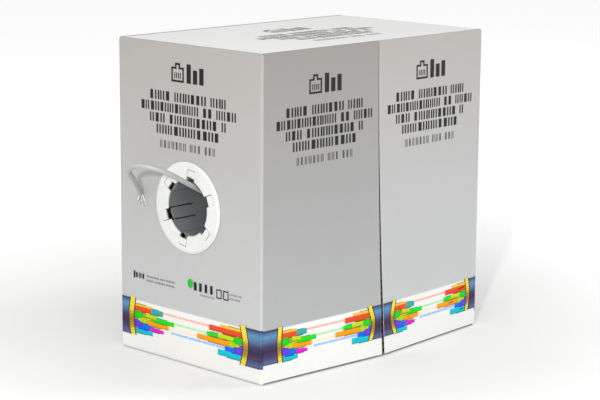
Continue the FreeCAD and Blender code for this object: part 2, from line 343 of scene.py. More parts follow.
def flutes(tree, axis, pitch):
    """The washboard that the flutes press through the liner: a sine along one axis."""
    scaled = node(tree, "ShaderNodeMath", operation="MULTIPLY")
    scaled.inputs[1].default_value = 2 * math.pi / pitch
    wave = node(tree, "ShaderNodeMath", operation="SINE")
    tree.links.new(object_axis(tree, axis), scaled.inputs[0])
    tree.links.new(scaled.outputs[0], wave.inputs[0])
    return wave.outputs[0]


def printed_liner(name, stops, axis, pitch, height):
    """Coated white liner with a printed grey that darkens towards the top, paper grain and a faint washboard.
    """
    made, tree, shader = new_finish(name)
    share = node(tree, "ShaderNodeMath", operation="DIVIDE")
    share.inputs[1].default_value = height
    tree.links.new(object_axis(tree, "Z"), share.inputs[0])
    colour = ramp(tree, share.outputs[0], stops)
    clouds = noise(tree, 9, 3)
    fibres = noise(tree, 900, 2, (1, 1, 0.35))
    colour = mottle(tree, colour, clouds, 0.965, 1.035)
    colour = mottle(tree, colour, fibres, 0.975, 1.02)
    tree.links.new(colour, shader.inputs["Base Color"])
    roughened(tree, shader, clouds, 0.46, 0.60)
    shader.inputs["Specular IOR Level"].default_value = 0.32
    bumped(tree, shader, sum_of(tree, flutes(tree, axis, pitch), 0.05, fibres, 0.10), 0.00045, 0.55)
    return made


def kraft_paper(name, colour, pitch, axis="Z"):
    """Bare brown paper: long fibres, specks and the glue lines of the flutes."""
    made, tree, shader = new_finish(name)
    fibres = noise(tree, 260, 5, (1, 0.3, 1))
    base = ramp(tree, fibres, [(0.25, shaded(colour, 0.84)), (0.75, shaded(colour, 1.12))])
    specks = noise(tree, 1400, 2, (1, 0.3, 1))
    base = mottle(tree, base, specks, 0.86, 1.10)
    lines = flutes(tree, axis, pitch)
    base = mottle(tree, base, lines, 0.97, 1.04)
    tree.links.new(base, shader.inputs["Base Color"])
    shader.inputs["Roughness"].default_value = 0.86
    shader.inputs["Specular IOR Level"].default_value = 0.2
    bumped(tree, shader, sum_of(tree, lines, 0.16, specks, 0.2), 0.0005, 0.7)
    return made


def printed_ink(name):
    """Ink on coated board: its colour is the piece's own 'tint', broken by the paper's grain."""
    made, tree, shader = new_finish(name)
    tint = node(tree, "ShaderNodeAttribute", attribute_name="tint")
    grain = noise(tree, 1100, 2)
    clouds = noise(tree, 160, 3)
    colour = mottle(tree, tint.outputs["Color"], grain, 0.88, 1.10)
    colour = mottle(tree, colour, clouds, 0.82, 0.93)
    tree.links.new(colour, shader.inputs["Base Color"])
    shader.inputs["Roughness"].default_value = 0.55
    shader.inputs["Specular IOR Level"].default_value = 0.14
    bumped(tree, shader, grain, 0.0001, 0.4)
    return made


def moulded_plastic(name, colour, roughness, sheen_depth=0.0, grain=0.35):
    """Injection-moulded plastic: faint flow marks and a fine sparked texture."""
    made, tree, shader = new_finish(name)
    flow = noise(tree, 26, 3, (1, 0.4, 1))
    fine = noise(tree, 1500, 2)
    colour = ramp(tree, flow, [(0.2, shaded(colour, 0.93)), (0.8, shaded(colour, 1.04))])
    tree.links.new(mottle(tree, colour, fine, 0.97, 1.02), shader.inputs["Base Color"])
    roughened(tree, shader, flow, roughness - 0.06, roughness + 0.08)
    shader.inputs["Specular IOR Level"].default_value = 0.45
    shader.inputs["Subsurface Weight"].default_value = sheen_depth
    shader.inputs["Subsurface Scale"].default_value = 0.002
    bumped(tree, shader, fine, 0.00012, grain)
    return made


def cable_jacket(name, colour):
    """Extruded jacket: a soft sheen, drawn lines and the ripple of the pairs inside."""
    made, tree, shader = new_finish(name)
    ripple = noise(tree, 150, 2)
    fine = noise(tree, 1700, 2)
    dust = noise(tree, 30, 4)
    base = ramp(tree, dust, [(0.25, shaded(colour, 0.90)), (0.75, shaded(colour, 1.05))])
    tree.links.new(mottle(tree, base, fine, 0.96, 1.03), shader.inputs["Base Color"])
    roughened(tree, shader, dust, 0.34, 0.50)
    shader.inputs["Coat Weight"].default_value = 0.12
    shader.inputs["Coat Roughness"].default_value = 0.3
    bumped(tree, shader, sum_of(tree, ripple, 0.8, fine, 0.1), 0.0005, 0.35)
    return made


def wire_skin(name, colour):
    """Thin glossy insulation of one wire."""
    made, tree, shader = new_finish(name)
    fine = noise(tree, 2600, 2)
    base = ramp(tree, noise(tree, 420, 2), [(0.3, shaded(colour, 0.88)), (0.7, shaded(colour, 1.08))])
    tree.links.new(mottle(tree, base, fine, 0.95, 1.03), shader.inputs["Base Color"])
    shader.inputs["Roughness"].default_value = 0.32
    bumped(tree, shader, fine, 0.00005, 0.3)
    return made


def bright_copper(name):
    """The conductor's cut end."""
    made, tree, shader = new_finish(name)
    base = ramp(tree, noise(tree, 2500, 2), [(0.2, (0.62, 0.26, 0.12)), (0.8, (0.86, 0.42, 0.22))])
    tree.links.new(base, shader.inputs["Base Color"])
    shader.inputs["Metallic"].default_value = 1
    shader.inputs["Roughness"].default_value = 0.28
    return made


def studio_floor(name):
    """Matt white studio sheet, faintly cloudy, with painted shade round the carton that fades to plain white
    towards its far edges.
    """
    made, tree, shader = new_finish(name)
    place = node(tree, "ShaderNodeTexCoord")
    reach = node(tree, "ShaderNodeVectorMath", operation="LENGTH")
    spread = node(tree, "ShaderNodeMapRange")
    spread.inputs["From Min"].default_value = 0.25
    spread.inputs["From Max"].default_value = 0.95
    tree.links.new(place.outputs["Object"], reach.inputs[0])
    tree.links.new(reach.outputs["Value"], spread.inputs["Value"])
    # painted shade: greyer floor near the carton, white further off
    base = ramp(tree, spread.outputs[0], [(0.0, (0.72, 0.72, 0.713)), (1.0, (1.0, 1.0, 1.0))])
    tree.links.new(mottle(tree, base, noise(tree, 1.5, 2), 0.99, 1.0), shader.inputs["Base Color"])
    shader.inputs["Roughness"].default_value = 0.9
    shader.inputs["Specular IOR Level"].default_value = 0.1
    return made


FINISH = {}


def finish(name, maker, *values):
    """The named material, made the first time it is asked for."""
    if name not in FINISH:
        FINISH[name] = maker(name, *values)
    return FINISH[name]


# ---------------------------------------------------------------- mesh helpers


class Shape:
    """Collects vertices and faces of one piece, with a material index and a tint for each part."""

    def __init__(self):
        self.points = []
        self.faces = []
        self.slots = []
        self.tints = []
        self.lift = 0.0

    def add(self, points, faces, slot=0, tint=(1, 1, 1)):
        """tint is one colour, or a list of one for each point."""
        first = len(self.points)
        self.points.extend(Vector(p) for p in points)
        self.tints.extend(tint if isinstance(tint, list) else [tint] * len(points))
        for face in faces:
            self.faces.append([first + i for i in face])
            self.slots.append(slot)

    def grid(self, rows, slot=0, tint=(1, 1, 1)):
        """A sheet through rows of points."""
        wide = len(rows[0])
        points = [p for row in rows for p in row]
        faces = [
            (r * wide + c, r * wide + c + 1, (r + 1) * wide + c + 1, (r + 1) * wide + c)
            for r in range(len(rows) - 1)
            for c in range(wide - 1)
        ]
        self.add(points, faces, slot, tint)

    def slab(self, top, bottom, slot=0, closed=False):
        """A closed slab between two sheets given as rows of points.

        closed joins the first and last column."""
        tall, wide = len(top), len(top[0])
        points = [p for row in top for p in row] + [p for row in bottom for p in row]
        half = tall * wide

        def at(row, column, sheet):
            return sheet * half + row * wide + column % wide

        faces = []
        last = wide if closed else wide - 1
        for r in range(tall - 1):
            for c in range(last):
                n = c + 1
                faces.append((at(r, c, 0), at(r, n, 0), at(r + 1, n, 0), at(r + 1, c, 0)))
                faces.append((at(r, c, 1), at(r + 1, c, 1), at(r + 1, n, 1), at(r, n, 1)))
        end = tall - 1
        for c in range(last):
            n = c + 1
            faces.append((at(0, c, 0), at(0, c, 1), at(0, n, 1), at(0, n, 0)))
            faces.append((at(end, c, 0), at(end, n, 0), at(end, n, 1), at(end, c, 1)))
        if not closed:
            side = wide - 1
            for r in range(tall - 1):
                faces.append((at(r, 0, 0), at(r + 1, 0, 0), at(r + 1, 0, 1), at(r, 0, 1)))
                faces.append((at(r, side, 0), at(r, side, 1), at(r + 1, side, 1), at(r + 1, side, 0)))
        self.add(points, faces, slot)

    def piece(self, name, materials, smooth=True, outward=True, angle=35):
        """The finished mesh object, at the origin."""
        mesh = bpy.data.meshes.new(name)
        mesh.from_pydata([tuple(p) for p in self.points], [], self.faces)
        for material in materials:
            mesh.materials.append(material)
        mesh.polygons.foreach_set("material_index", self.slots)
        tint = mesh.color_attributes.new("tint", "FLOAT_COLOR", "POINT")
        for item, colour in zip(tint.data, self.tints):
            item.color = (*colour, 1)
        if outward:
            work = bmesh.new()
            work.from_mesh(mesh)
            bmesh.ops.recalc_face_normals(work, faces=work.faces)
            work.to_mesh(mesh)
            work.free()
        made = bpy.data.objects.new(name, mesh)
        bpy.context.scene.collection.objects.link(made)
        if smooth:
            mesh.shade_smooth()
            mesh.set_sharp_from_angle(angle=math.radians(angle))
        return made


def dressed(piece, body, slot, *nodes):
    """Puts a finished piece on its body, in place of its CAD nodes; slot is not used."""
    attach(piece, body)
    if nodes:
        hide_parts(*nodes)
    return piece


def spaced(low, high, count):
    """count + 1 numbers from low to high."""
    return [low + (high - low) * i / count for i in range(count + 1)]


def neighbours(items):
    """Each item with the one after it."""
    return zip(items[:-1], items[1:])


def control_spline(name, route):
    """A NURBS curve with the route's points, in metres, as its control points."""
    curve = bpy.data.curves.new(name, "CURVE")
    curve.dimensions = "3D"
    line = curve.splines.new("NURBS")
    line.points.add(len(route) - 1)
    for point, place in zip(line.points, route):
        point.co = (*place, 1)
    line.order_u = 3
    line.use_endpoint_u = True
    line.resolution_u = 10
    curve.resolution_u = 10
    return curve


def route_points(route):
    """The points of the route's smooth line."""
    curve = control_spline("route", route)
    holder = bpy.data.objects.new("route", curve)
    bpy.context.scene.collection.objects.link(holder)
    bpy.context.view_layer.update()
    graph = bpy.context.evaluated_depsgraph_get()
    mesh = bpy.data.meshes.new_from_object(holder.evaluated_get(graph))
    points = [v.co.copy() for v in mesh.vertices]
    bpy.data.objects.remove(holder)
    bpy.data.curves.remove(curve)
    bpy.data.meshes.remove(mesh)
    return points


def frames_along(points):
    """Direction, side and upright at each point, carried along without twist."""
    found = []
    side = None
    for i, point in enumerate(points):
        ahead = (points[min(i + 1, len(points) - 1)] - points[max(i - 1, 0)]).normalized()
        if side is None:
            side = ahead.cross(Vector((0, 0, 1)))
            if side.length < 0.1:
                side = ahead.cross(Vector((1, 0, 0)))
        side = (side - ahead * side.dot(ahead)).normalized()
        found.append((point, ahead, side, ahead.cross(side)))
    return found


def tube(shape, points, radius, sides=10, slot=0):
    """A round tube along points, with closed ends."""
    rows = []
    for point, _, side, up in frames_along(points):
        ring = [2 * math.pi * k / sides for k in range(sides)]
        rows.append([point + radius * (math.cos(a) * side + math.sin(a) * up) for a in ring])
    flat = [p for row in rows for p in row]
    faces = []
    for r in range(len(rows) - 1):
        for k in range(sides):
            n = (k + 1) % sides
            faces.append((r * sides + k, r * sides + n, (r + 1) * sides + n, (r + 1) * sides + k))
    shape.add(flat, faces, slot)
    shape.add(rows[0], [tuple(reversed(range(sides)))], slot)
    shape.add(rows[-1], [tuple(range(sides))], slot)


# ---------------------------------------------------------------- routes of the cable, in metres

TAIL_ROUTE = [
    (0.009, -0.165, 0.192), (0.010, -0.179, 0.199), (0.012, -0.193, 0.206), (0.013, -0.206, 0.213),
    (0.011, -0.219, 0.220), (0.004, -0.230, 0.2250), (-0.006, -0.237, 0.2275), (-0.0170, -0.2395, 0.2265),
    (-0.0275, -0.2375, 0.2222), (-0.0370, -0.2300, 0.2150), (-0.0452, -0.217, 0.2062),
    (-0.0545, -0.204, 0.1970), (-0.0632, -0.193, 0.1885), (-0.0710, -0.184, 0.1822),
]
LEAD_ROUTE = [
    (0.009, -0.165, 0.192), (0.008, -0.151, 0.185), (0.005, -0.134, 0.181), (0.001, -0.117, 0.180),
    (-0.003, -0.100, 0.181), (-0.008, -0.083, 0.184), (-0.014, -0.067, 0.189), (-0.022, -0.053, 0.197),
    (-0.031, -0.040, 0.207), (-0.040, -0.029, 0.219), (-0.048, -0.019, 0.232), (-0.054, -0.010, 0.246),
]
STRANDS = {
    "pair_blue": (90, [(-0.0762, -0.1816, 0.1849), (-0.0774, -0.1806, 0.1815), (-0.0767, -0.1801, 0.1773),
                       (-0.0748, -0.1804, 0.1734), (-0.0726, -0.1809, 0.1700)]),
    "pair_orange": (162, [(-0.0772, -0.1830, 0.1840), (-0.0792, -0.1818, 0.1819), (-0.0804, -0.1812, 0.1790),
                          (-0.0807, -0.1813, 0.1759)]),
    "pair_brown": (234, [(-0.0760, -0.1834, 0.1824), (-0.0770, -0.1827, 0.1798), (-0.0769, -0.1828, 0.1768),
                         (-0.0759, -0.1833, 0.1742)]),
    "pair_green": (306, [(-0.0747, -0.1821, 0.1825), (-0.0751, -0.1812, 0.1796), (-0.0739, -0.1812, 0.1766),
                         (-0.0719, -0.1818, 0.1742)]),
    "rip_cord": (18, [(-0.0746, -0.1811, 0.1842), (-0.0746, -0.1799, 0.1815), (-0.0733, -0.1796, 0.1784),
                      (-0.0713, -0.1797, 0.1756), (-0.0694, -0.1800, 0.1723)]),
}
FILLER_ROUTE = [(-0.0710, -0.1840, 0.1822), (-0.0718, -0.1831, 0.1816), (-0.0725, -0.1822, 0.1811)]
END_SHIFT = Vector((0.0030, 0, -0.0028))
STRAIGHT_START = 0.0012
WIRE_COLOURS = {
    "pair_blue": (0.03, 0.12, 0.55),
    "pair_orange": (0.85, 0.25, 0.02),
    "pair_brown": (0.20, 0.09, 0.04),
    "pair_green": (0.03, 0.36, 0.09),
}
PAIR_LAY = 0.0062
CONDUCTOR_LENGTH = 0.0005
RIP_CORD_RADIUS = 0.0004
FILLER_RADIUS = 0.0005


def strand_route(angle, rest, circle):
    """A strand's route: a short straight start off the cut face, then the rest."""
    end = Vector(TAIL_ROUTE[-1])
    along = (end - Vector(TAIL_ROUTE[-2])).normalized()
    level = along.cross(Vector((0, 0, 1))).normalized()
    upright = level.cross(along)
    turn = math.radians(angle)
    start = end + circle * (math.cos(turn) * level + math.sin(turn) * upright)
    return [start, start + STRAIGHT_START * along] + [Vector(p) + END_SHIFT for p in rest]


# ---------------------------------------------------------------- board

WAVE_STEPS = 8
WAVE_CLEARANCE = 0.00002
PRINT_FOOT = 0.0585
PRINT_MIDDLE = 0.58
# painted shade on the front flaps that grows towards their top
FLAP_HEAD_PAINTED_SHADE = 0.1


def liner_rows(surface, depth, waves, runs):
    """Rows of points of one paper liner at a depth in the board."""
    return [[surface(u, v, depth) for v in spaced(0, 1, runs)] for u in spaced(0, 1, waves)]


def fluted_medium(shape, surface, length, sizes, span_at):
    """The wavy paper between the liners; span_at(u) gives where it starts and ends along v."""
    thick, paper = sizes.board, sizes.liner
    steps = WAVE_STEPS * max(1, round(length / sizes.flute))
    swing = (thick - 3 * paper) / 2 - WAVE_CLEARANCE
    top, bottom = [], []
    for i in range(steps + 1):
        u = i / steps
        depth = thick / 2 - swing * math.cos(2 * math.pi * i / WAVE_STEPS)
        top.append([surface(u, v, depth - paper / 2) for v in span_at(u)])
        bottom.append([surface(u, v, depth + paper / 2) for v in span_at(u)])
    shape.slab(top, bottom, 2)


def fluted_board(shape, surface, length, sizes, rows=24, runs=6):
    """Two liners and the fluted medium between them. surface(u, v, depth) gives a point:
    u runs across the flutes, v along them, and depth is from the outer face."""
    thick, paper = sizes.board, sizes.liner
    shape.slab(liner_rows(surface, 0, rows, runs), liner_rows(surface, paper, rows, runs), 0)
    shape.slab(liner_rows(surface, thick - paper, rows, runs), liner_rows(surface, thick, rows, runs), 1)
    fluted_medium(shape, surface, length, sizes, lambda u: (0, 1))


def between(outer, inner, thick):
    """surface(u, v, depth) between two quads of corners (u0v0, u0v1, u1v0, u1v1)."""
    outer = [Vector(p) for p in outer]
    inner = [Vector(p) for p in inner]

    def surface(u, v, depth):
        share = depth / thick
        corners = [a.lerp(b, share) for a, b in zip(outer, inner)]
        return corners[0].lerp(corners[1], v).lerp(corners[2].lerp(corners[3], v), u)

    return surface


def rolled_crease(shape, centre, start, end, axis_from, axis_to, radius, sizes, segments=8):
    """The quarter round of liner over a folded score.

    start and end are unit directions from its centre line."""
    centre, start, end = Vector(centre), Vector(start), Vector(end)
    step = Vector(axis_to) - Vector(axis_from)

    def row(reach, along):
        base = centre + Vector(axis_from) + step * along
        turns = spaced(0, math.pi / 2, segments)
        return [base + reach * (math.cos(a) * start + math.sin(a) * end) for a in turns]

    places = spaced(0, 1, 12)
    shape.slab([row(radius, s) for s in places], [row(radius - sizes.liner, s) for s in places], 0)


def corner_cap(shape, centre, reach, paper, steps=5):
    """The eighth of a ball where three scores meet; reach is its signed radius along each axis."""
    places = [(i, j) for i in range(steps + 1) for j in range(steps + 1 - i)]
    number = {place: index for index, place in enumerate(places)}
    points = []
    for shrink in (0.0, paper):
        for i, j in places:
            unit = Vector((i, j, steps - i - j)).normalized()
            points.append([c + u * (r - math.copysign(shrink, r)) for c, u, r in zip(centre, unit, reach)])
    patches = [((i, j), (i + 1, j), (i, j + 1)) for i in range(steps) for j in range(steps - i)]
    patches += [((i + 1, j), (i + 1, j + 1), (i, j + 1)) for i in range(steps) for j in range(steps - 1 - i)]
    outer = [[number[place] for place in patch] for patch in patches]
    inner = [[len(places) + index for index in reversed(face)] for face in outer]
    border = [(k, 0) for k in range(steps)] + [(steps - k, k) for k in range(steps)]
    border += [(0, steps - k) for k in range(steps)]
    edge = [number[place] for place in border]
    rim = [(a, b, len(places) + b, len(places) + a) for a, b in zip(edge, edge[1:] + edge[:1])]
    shape.add(points, outer + inner + rim)


def board_finishes(carton, colours):
    """The papers of each kind of board: its printed liner, its bare liner and its medium."""
    pitch = carton.flute
    foot = PRINT_FOOT / carton.height
    stops = [
        (0.0, colours.foot),
        (foot - 0.002, colours.foot),
        (foot, colours.print_low),
        (PRINT_MIDDLE, colours.print_middle),
        (1.0, colours.print_high),
    ]

    def with_painted_shade(place, tone):
        """The front flaps' tone: painted shade makes their print darker, and a little more so towards the
        top.
        """
        share = colours.front_flap_painted_shade * (1 - FLAP_HEAD_PAINTED_SHADE * place)
        return shaded(tone, share) if place > foot - 0.001 else tone

    painted_shade_stops = [(place, with_painted_shade(place, tone)) for place, tone in stops]
    kinds = {
        "front_flap": ("print_front_flap", painted_shade_stops, "upright", "Z"),
        "upright": ("print_upright", stops, "upright", "Z"),
        "level": ("print_level", [(0.0, colours.lid), (1.0, colours.lid)], "level", "Y"),
    }
    return {
        kind: [
            finish(name, printed_liner, tones, axis, pitch, carton.height),
            finish("kraft_" + way, kraft_paper, colours.kraft, pitch, axis),
            # the medium's dark brown is painted shade in the seams and cut edges
            finish("fluted_medium", kraft_paper, colours.medium, pitch, "Y"),
        ]
        for kind, (name, tones, way, axis) in kinds.items()
    }


def bare_papers(papers):
    """The papers of a board that has no print: kraft on both faces."""
    return [papers[1], papers[1], papers[2]]


def ring_patch(centre, radius, low, high, place, depth, steps=24, rings=4):
    """Rows of points from a round hole out to a rectangle, where place(x, z, depth) puts them."""
    (x0, z0), (x1, z1) = low, high
    edge = [(x, z0) for x in spaced(x0, x1, steps)[:-1]]
    edge += [(x1, z) for z in spaced(z0, z1, steps)[:-1]]
    edge += [(x, z1) for x in spaced(x1, x0, steps)[:-1]]
    edge += [(x0, z) for z in spaced(z1, z0, steps)[:-1]]
    rows = []
    for share in spaced(0, 1, rings):
        row = []
        for x, z in edge:
            turn = math.atan2(z - centre[1], x - centre[0])
            hole = (centre[0] + radius * math.cos(turn), centre[1] + radius * math.sin(turn))
            row.append(place(hole[0] + (x - hole[0]) * share, hole[1] + (z - hole[1]) * share, depth))
        rows.append(row)
    return rows


def seam_bulge(carton, side, z):
    """How far the seam of one side stands out at height z: only the right side bulges."""
    share = 1 - min(max(z / carton.height, 0), 1)
    return carton.bulge * share ** carton.bulge_power if side > 0 else 0.0


def seam_half_gap(carton, side, z):
    """Half the gap between the two outer flaps of a side at height z."""
    share = 1 - min(max(z / carton.height, 0), 1)
    extra = (carton.seam_bottom - carton.seam_top) * share ** carton.bulge_power if side > 0 else 0.0
    return (carton.seam_top + extra) / 2


def flap_face(carton, side, end):
    """surface(u, v, depth) of an outer flap: u from the foot up, v from the fold to the seam."""
    half_width, half_depth = carton.width / 2, carton.depth / 2 - carton.fold_gap

    def surface(u, v, depth):
        z = carton.foot_trim + (carton.height - carton.foot_trim - carton.head_trim) * u
        inset = carton.crease + (carton.board - carton.crease) * depth / carton.board
        start = Vector((half_width - depth, half_depth - inset, z))
        stop = Vector((half_width - depth + seam_bulge(carton, side, z), seam_half_gap(carton, side, z), z))
        at = start.lerp(stop, v)
        return Vector((side * at.x, end * at.y, z))

    return surface


# ---------------------------------------------------------------- artwork

PATCH_HEIGHT = 0.02
WORD_GAP = 0.7
TWIN_SHARE = 0.55


def printed_quad(shape, surface, corners, tint, head_tint=None):
    """A printed patch, split so that it lies on a curved panel.

    Its corners are in the panel's own (across, up) metres, and head_tint is the colour of its upper edge
    where that differs."""
    (x0, z0), (x1, z1), (x2, z2), (x3, z3) = corners
    head_tint = head_tint or tint
    splits = max(1, int(abs(max(z2, z3) - min(z0, z1)) / PATCH_HEIGHT))
    for low, high in neighbours(spaced(0, 1, splits)):
        spots = [
            (x0 + (x3 - x0) * low, z0 + (z3 - z0) * low),
            (x1 + (x2 - x1) * low, z1 + (z2 - z1) * low),
            (x1 + (x2 - x1) * high, z1 + (z2 - z1) * high),
            (x0 + (x3 - x0) * high, z0 + (z3 - z0) * high),
        ]
        tones = [[a + (b - a) * share for a, b in zip(tint, head_tint)] for share in (low, low, high, high)]
        shape.add([surface(x, z, shape.lift) for x, z in spots], [(0, 1, 2, 3)], 0, tones)


def block(shape, surface, x0, z0, x1, z1, tint):
    """An upright printed block."""
    printed_quad(shape, surface, [(x0, z0), (x1, z0), (x1, z1), (x0, z1)], tint)


def block_line(shape, surface, centre, foot, width, tall, words, tint, seed, share=0.82):
    """A line of small blocks and twin posts that stands for words, which are given by their lengths."""
    dice = random.Random(seed)
    cells = sum(words) + WORD_GAP * (len(words) - 1)
    cell = width / cells
    at = centre - width / 2
    for word in words:
        for _ in range(word):
            wide = cell * share * dice.uniform(0.86, 1.06)
            if dice.random() < TWIN_SHARE:
                post = wide * 0.34
                block(shape, surface, at, foot, at + post, foot + tall, tint)
                block(shape, surface, at + wide - post, foot, at + wide, foot + tall, tint)
            else:
                block(shape, surface, at + 0.12 * wide, foot, at + 0.88 * wide, foot + tall, tint)
            at += cell
        at += WORD_GAP * cell


def plug_mark(shape, surface, centre, foot, tall, tint):
    """A pictogram of a modular plug with four contacts and its latch, and three bars beside it."""
    wide = tall * 0.95
    left = centre - 1.3 * wide
    right = left + wide
    rim = tall * 0.11
    shoulder, neck = foot + tall * 0.68, foot + tall * 0.78
    latch_left, latch_right = left + wide * 0.3, left + wide * 0.7
    head = foot + tall
    for x0, z0, x1, z1 in (
        (left, foot, right, foot + rim),
        (left, foot + rim, left + rim, neck),
        (right - rim, foot + rim, right, neck),
        (left, shoulder, latch_left, neck),
        (latch_right, shoulder, right, neck),
        (latch_left, shoulder, latch_left + rim, head),
        (latch_right - rim, shoulder, latch_right, head),
        (latch_left, head - rim, latch_right, head),
    ):
        block(shape, surface, x0, z0, x1, z1, tint)
    for k in range(4):
        at = left + wide * (0.24 + 0.15 * k)
        block(shape, surface, at, foot + rim * 1.8, at + wide * 0.07, foot + tall * 0.5, tint)
    start = left + wide * 1.22
    for k, rise in enumerate((1.0, 0.72, 0.86)):
        at = start + k * wide * 0.5
        block(shape, surface, at, foot, at + wide * 0.34, foot + tall * rise, tint)


BAND = {
    "outline": (0.02, 0.014, 0.012),
    "gold": (0.82, 0.62, 0.03),
    "brass": (0.42, 0.25, 0.02),
    "red": (0.86, 0.07, 0.02),
    "amber": (0.95, 0.55, 0.03),
    "green": (0.01, 0.74, 0.01),
    "lime": (0.56, 0.74, 0.01),
    "teal": (0.03, 0.42, 0.40),
    "orange": (0.98, 0.36, 0.0),
    "violet": (0.14, 0.06, 0.85),
    "blue": (0.01, 0.14, 0.95),
    "cyan": (0.0, 0.55, 0.68),
    "magenta": (0.75, 0.01, 0.62),
    "olive": (0.30, 0.32, 0.015),
    "pale_red": (0.90, 0.38, 0.32),
    "pale_green": (0.36, 0.72, 0.32),
    "pale_orange": (0.93, 0.70, 0.42),
    "pale_blue": (0.26, 0.46, 0.85),
}
# each wire of the band: colour, start and end from the collar, foot and head, in millimetres
LEFT_WIRES = [
    ("cyan", 4, 30, 21, 26), ("blue", 10, 31, 26, 33), ("magenta", 31, 48, 26.5, 31),
    ("violet", 0, 11, 28, 36), ("lime", 10, 28, 34, 40.5), ("orange", 27, 56, 32.5, 38.5),
    ("green", 0, 12, 38.5, 47), ("green", 35, 65, 38, 43.5), ("lime", 23, 36, 41, 47),
    ("teal", 29, 47, 46, 52.5), ("red", 2, 28, 46, 52), ("amber", 6, 28, 51.5, 54.5),
]
RIGHT_WIRES = [
    ("cyan", 2, 38, 21.5, 28.5), ("blue", 0, 27, 28, 34), ("violet", 0, 9, 30, 38),
    ("lime", 9, 24, 35, 41.5), ("orange", 26, 70, 33.5, 39.5), ("green", 0, 12, 40.5, 48),
    ("lime", 12, 41, 40.5, 45.5), ("green", 41, 55, 40, 44.8), ("red", 0, 51, 46.5, 53),
    ("amber", 2, 34, 52.5, 56),
]
WIRE_LINES = [
    ("pale_red", 47, 121, 49.6, 51.8), ("pale_green", 65, 117, 41, 43.2),
    ("pale_orange", 56, 100, 34.6, 36.6), ("pale_blue", 60, 145, 29.6, 32.0),
]
WIRE_BACKS = [("olive", -4, 27, 27, 52), ("olive", -4, 45, 35, 44), ("olive", -4, 14, 24, 52)]
# each open wire end, in millimetres: colour, distance from the collar, height, width, own height
WIRE_ENDS = [("green", 7.5, 42.5, 13, 8.5), ("violet", 6.5, 31.5, 12, 8.5), ("lime", 17, 37.0, 11, 7)]
WIRE_OVERLAP = 4
LINE_DASHES = 12
BAND_WIDTH = 0.172
# shades of the sheath and of its collar: height and colour, from foot to head
SHEATH_SHADES = [
    (0.0165, (0.045, 0.055, 0.13)), (0.019, (0.085, 0.11, 0.24)), (0.025, (0.050, 0.045, 0.115)),
    (0.033, (0.034, 0.018, 0.055)), (0.040, (0.045, 0.040, 0.095)), (0.046, (0.070, 0.150, 0.28)),
    (0.052, (0.100, 0.230, 0.40)), (0.056, (0.065, 0.120, 0.24)), (0.0595, (0.020, 0.022, 0.045)),
]
COLLAR_SHADES = [
    (0.0165, BAND["gold"]), (0.022, BAND["gold"]), (0.027, BAND["brass"]), (0.034, (0.30, 0.17, 0.02)),
    (0.040, BAND["brass"]), (0.046, BAND["gold"]), (0.055, (0.90, 0.72, 0.06)), (0.0605, BAND["gold"]),
]
COLLAR_LINE = 0.0013
GROOVE_INSET = 0.0018
GROOVE_SLOPE = 0.0010
GROOVE_HEIGHT = 0.0006
GROOVE_TONE = (0.20, 0.11, 0.015)
INK_STEP = 0.000008
PRINT_PROUD = 0.00012
WALL_TITLE_TOP, FLAP_TITLE_TOP = 0.3295, 0.3225
# foot and head of the band on the end walls and on the flaps, and the width of its collars there
WALL_BAND, WALL_COLLAR = (0.0178, 0.0598), 0.0098
FLAP_BAND, FLAP_COLLAR = (0.0215, 0.0588), 0.0078
WRAP_OVERRUN = 0.12
WRAP_STRETCH = 0.977
SOFT_INK = (0.075, 0.072, 0.070)
GREEN_INK = (0.02, 0.40, 0.03)
# The top wall's inks are pale grey as painted highlight: they stand for the glare over the brightly lit top.
LID_INK_PAINTED_HIGHLIGHT = (0.17, 0.165, 0.16)
LID_SOFT_INK_PAINTED_HIGHLIGHT = (0.27, 0.265, 0.26)
OVAL_POINTS = 14


def sheath_end(shape, surface, outer, inner, toward, foot, head, flare, collar):
    """The printed end of a sheath, and its bowed collar between two dark rims.

    toward is +1 where the wires go to +across, foot and head are its lower and upper edge, flare is how
    far the collar's two tips lean over the wires, and collar is its width."""
    base, reach = SHEATH_SHADES[0][0], SHEATH_SHADES[-1][0] - SHEATH_SHADES[0][0]

    def level(z):
        return foot + (head - foot) * (z - base) / reach

    def rim(z):
        share = min(max((z - base) / reach, 0), 1)
        return inner + toward * flare * (1 - math.sin(math.pi * share))

    for (low, low_tone), (high, high_tone) in neighbours(SHEATH_SHADES):
        near = [rim(z) - toward * 0.9 * collar for z in (low, high)]
        corners = [(outer, level(low)), (near[0], level(low)), (near[1], level(high)), (outer, level(high))]
        if toward < 0:
            corners = [corners[1], corners[0], corners[3], corners[2]]
        printed_quad(shape, surface, corners, low_tone, high_tone)
    shape.lift += INK_STEP
    line = COLLAR_LINE
    outline = [(z, BAND["outline"]) for z in spaced(0.0160, 0.0602, 10)]
    for start, stop, shades in (
        (-collar, line - collar, outline),
        (line - collar, -line, COLLAR_SHADES),
        (-line, 0.0, outline),
    ):
        for (low, low_tone), (high, high_tone) in neighbours(shades):
            near = [(x, level(low)) for x in sorted(rim(low) + toward * share for share in (start, stop))]
            far = [(x, level(high)) for x in sorted(rim(high) + toward * share for share in (start, stop))]
            printed_quad(shape, surface, near + far[::-1], low_tone, high_tone)
    shape.lift += INK_STEP
    for z in spaced(0.0185, 0.0575, 13):
        x0, x1 = sorted(rim(z) - toward * share for share in (GROOVE_INSET, collar - GROOVE_INSET))
        slope = GROOVE_SLOPE * toward
        under = [(x0, level(z - slope)), (x1, level(z + slope))]
        over = [(x1, level(z + slope + GROOVE_HEIGHT)), (x0, level(z - slope + GROOVE_HEIGHT))]
        printed_quad(shape, surface, under + over, GROOVE_TONE)


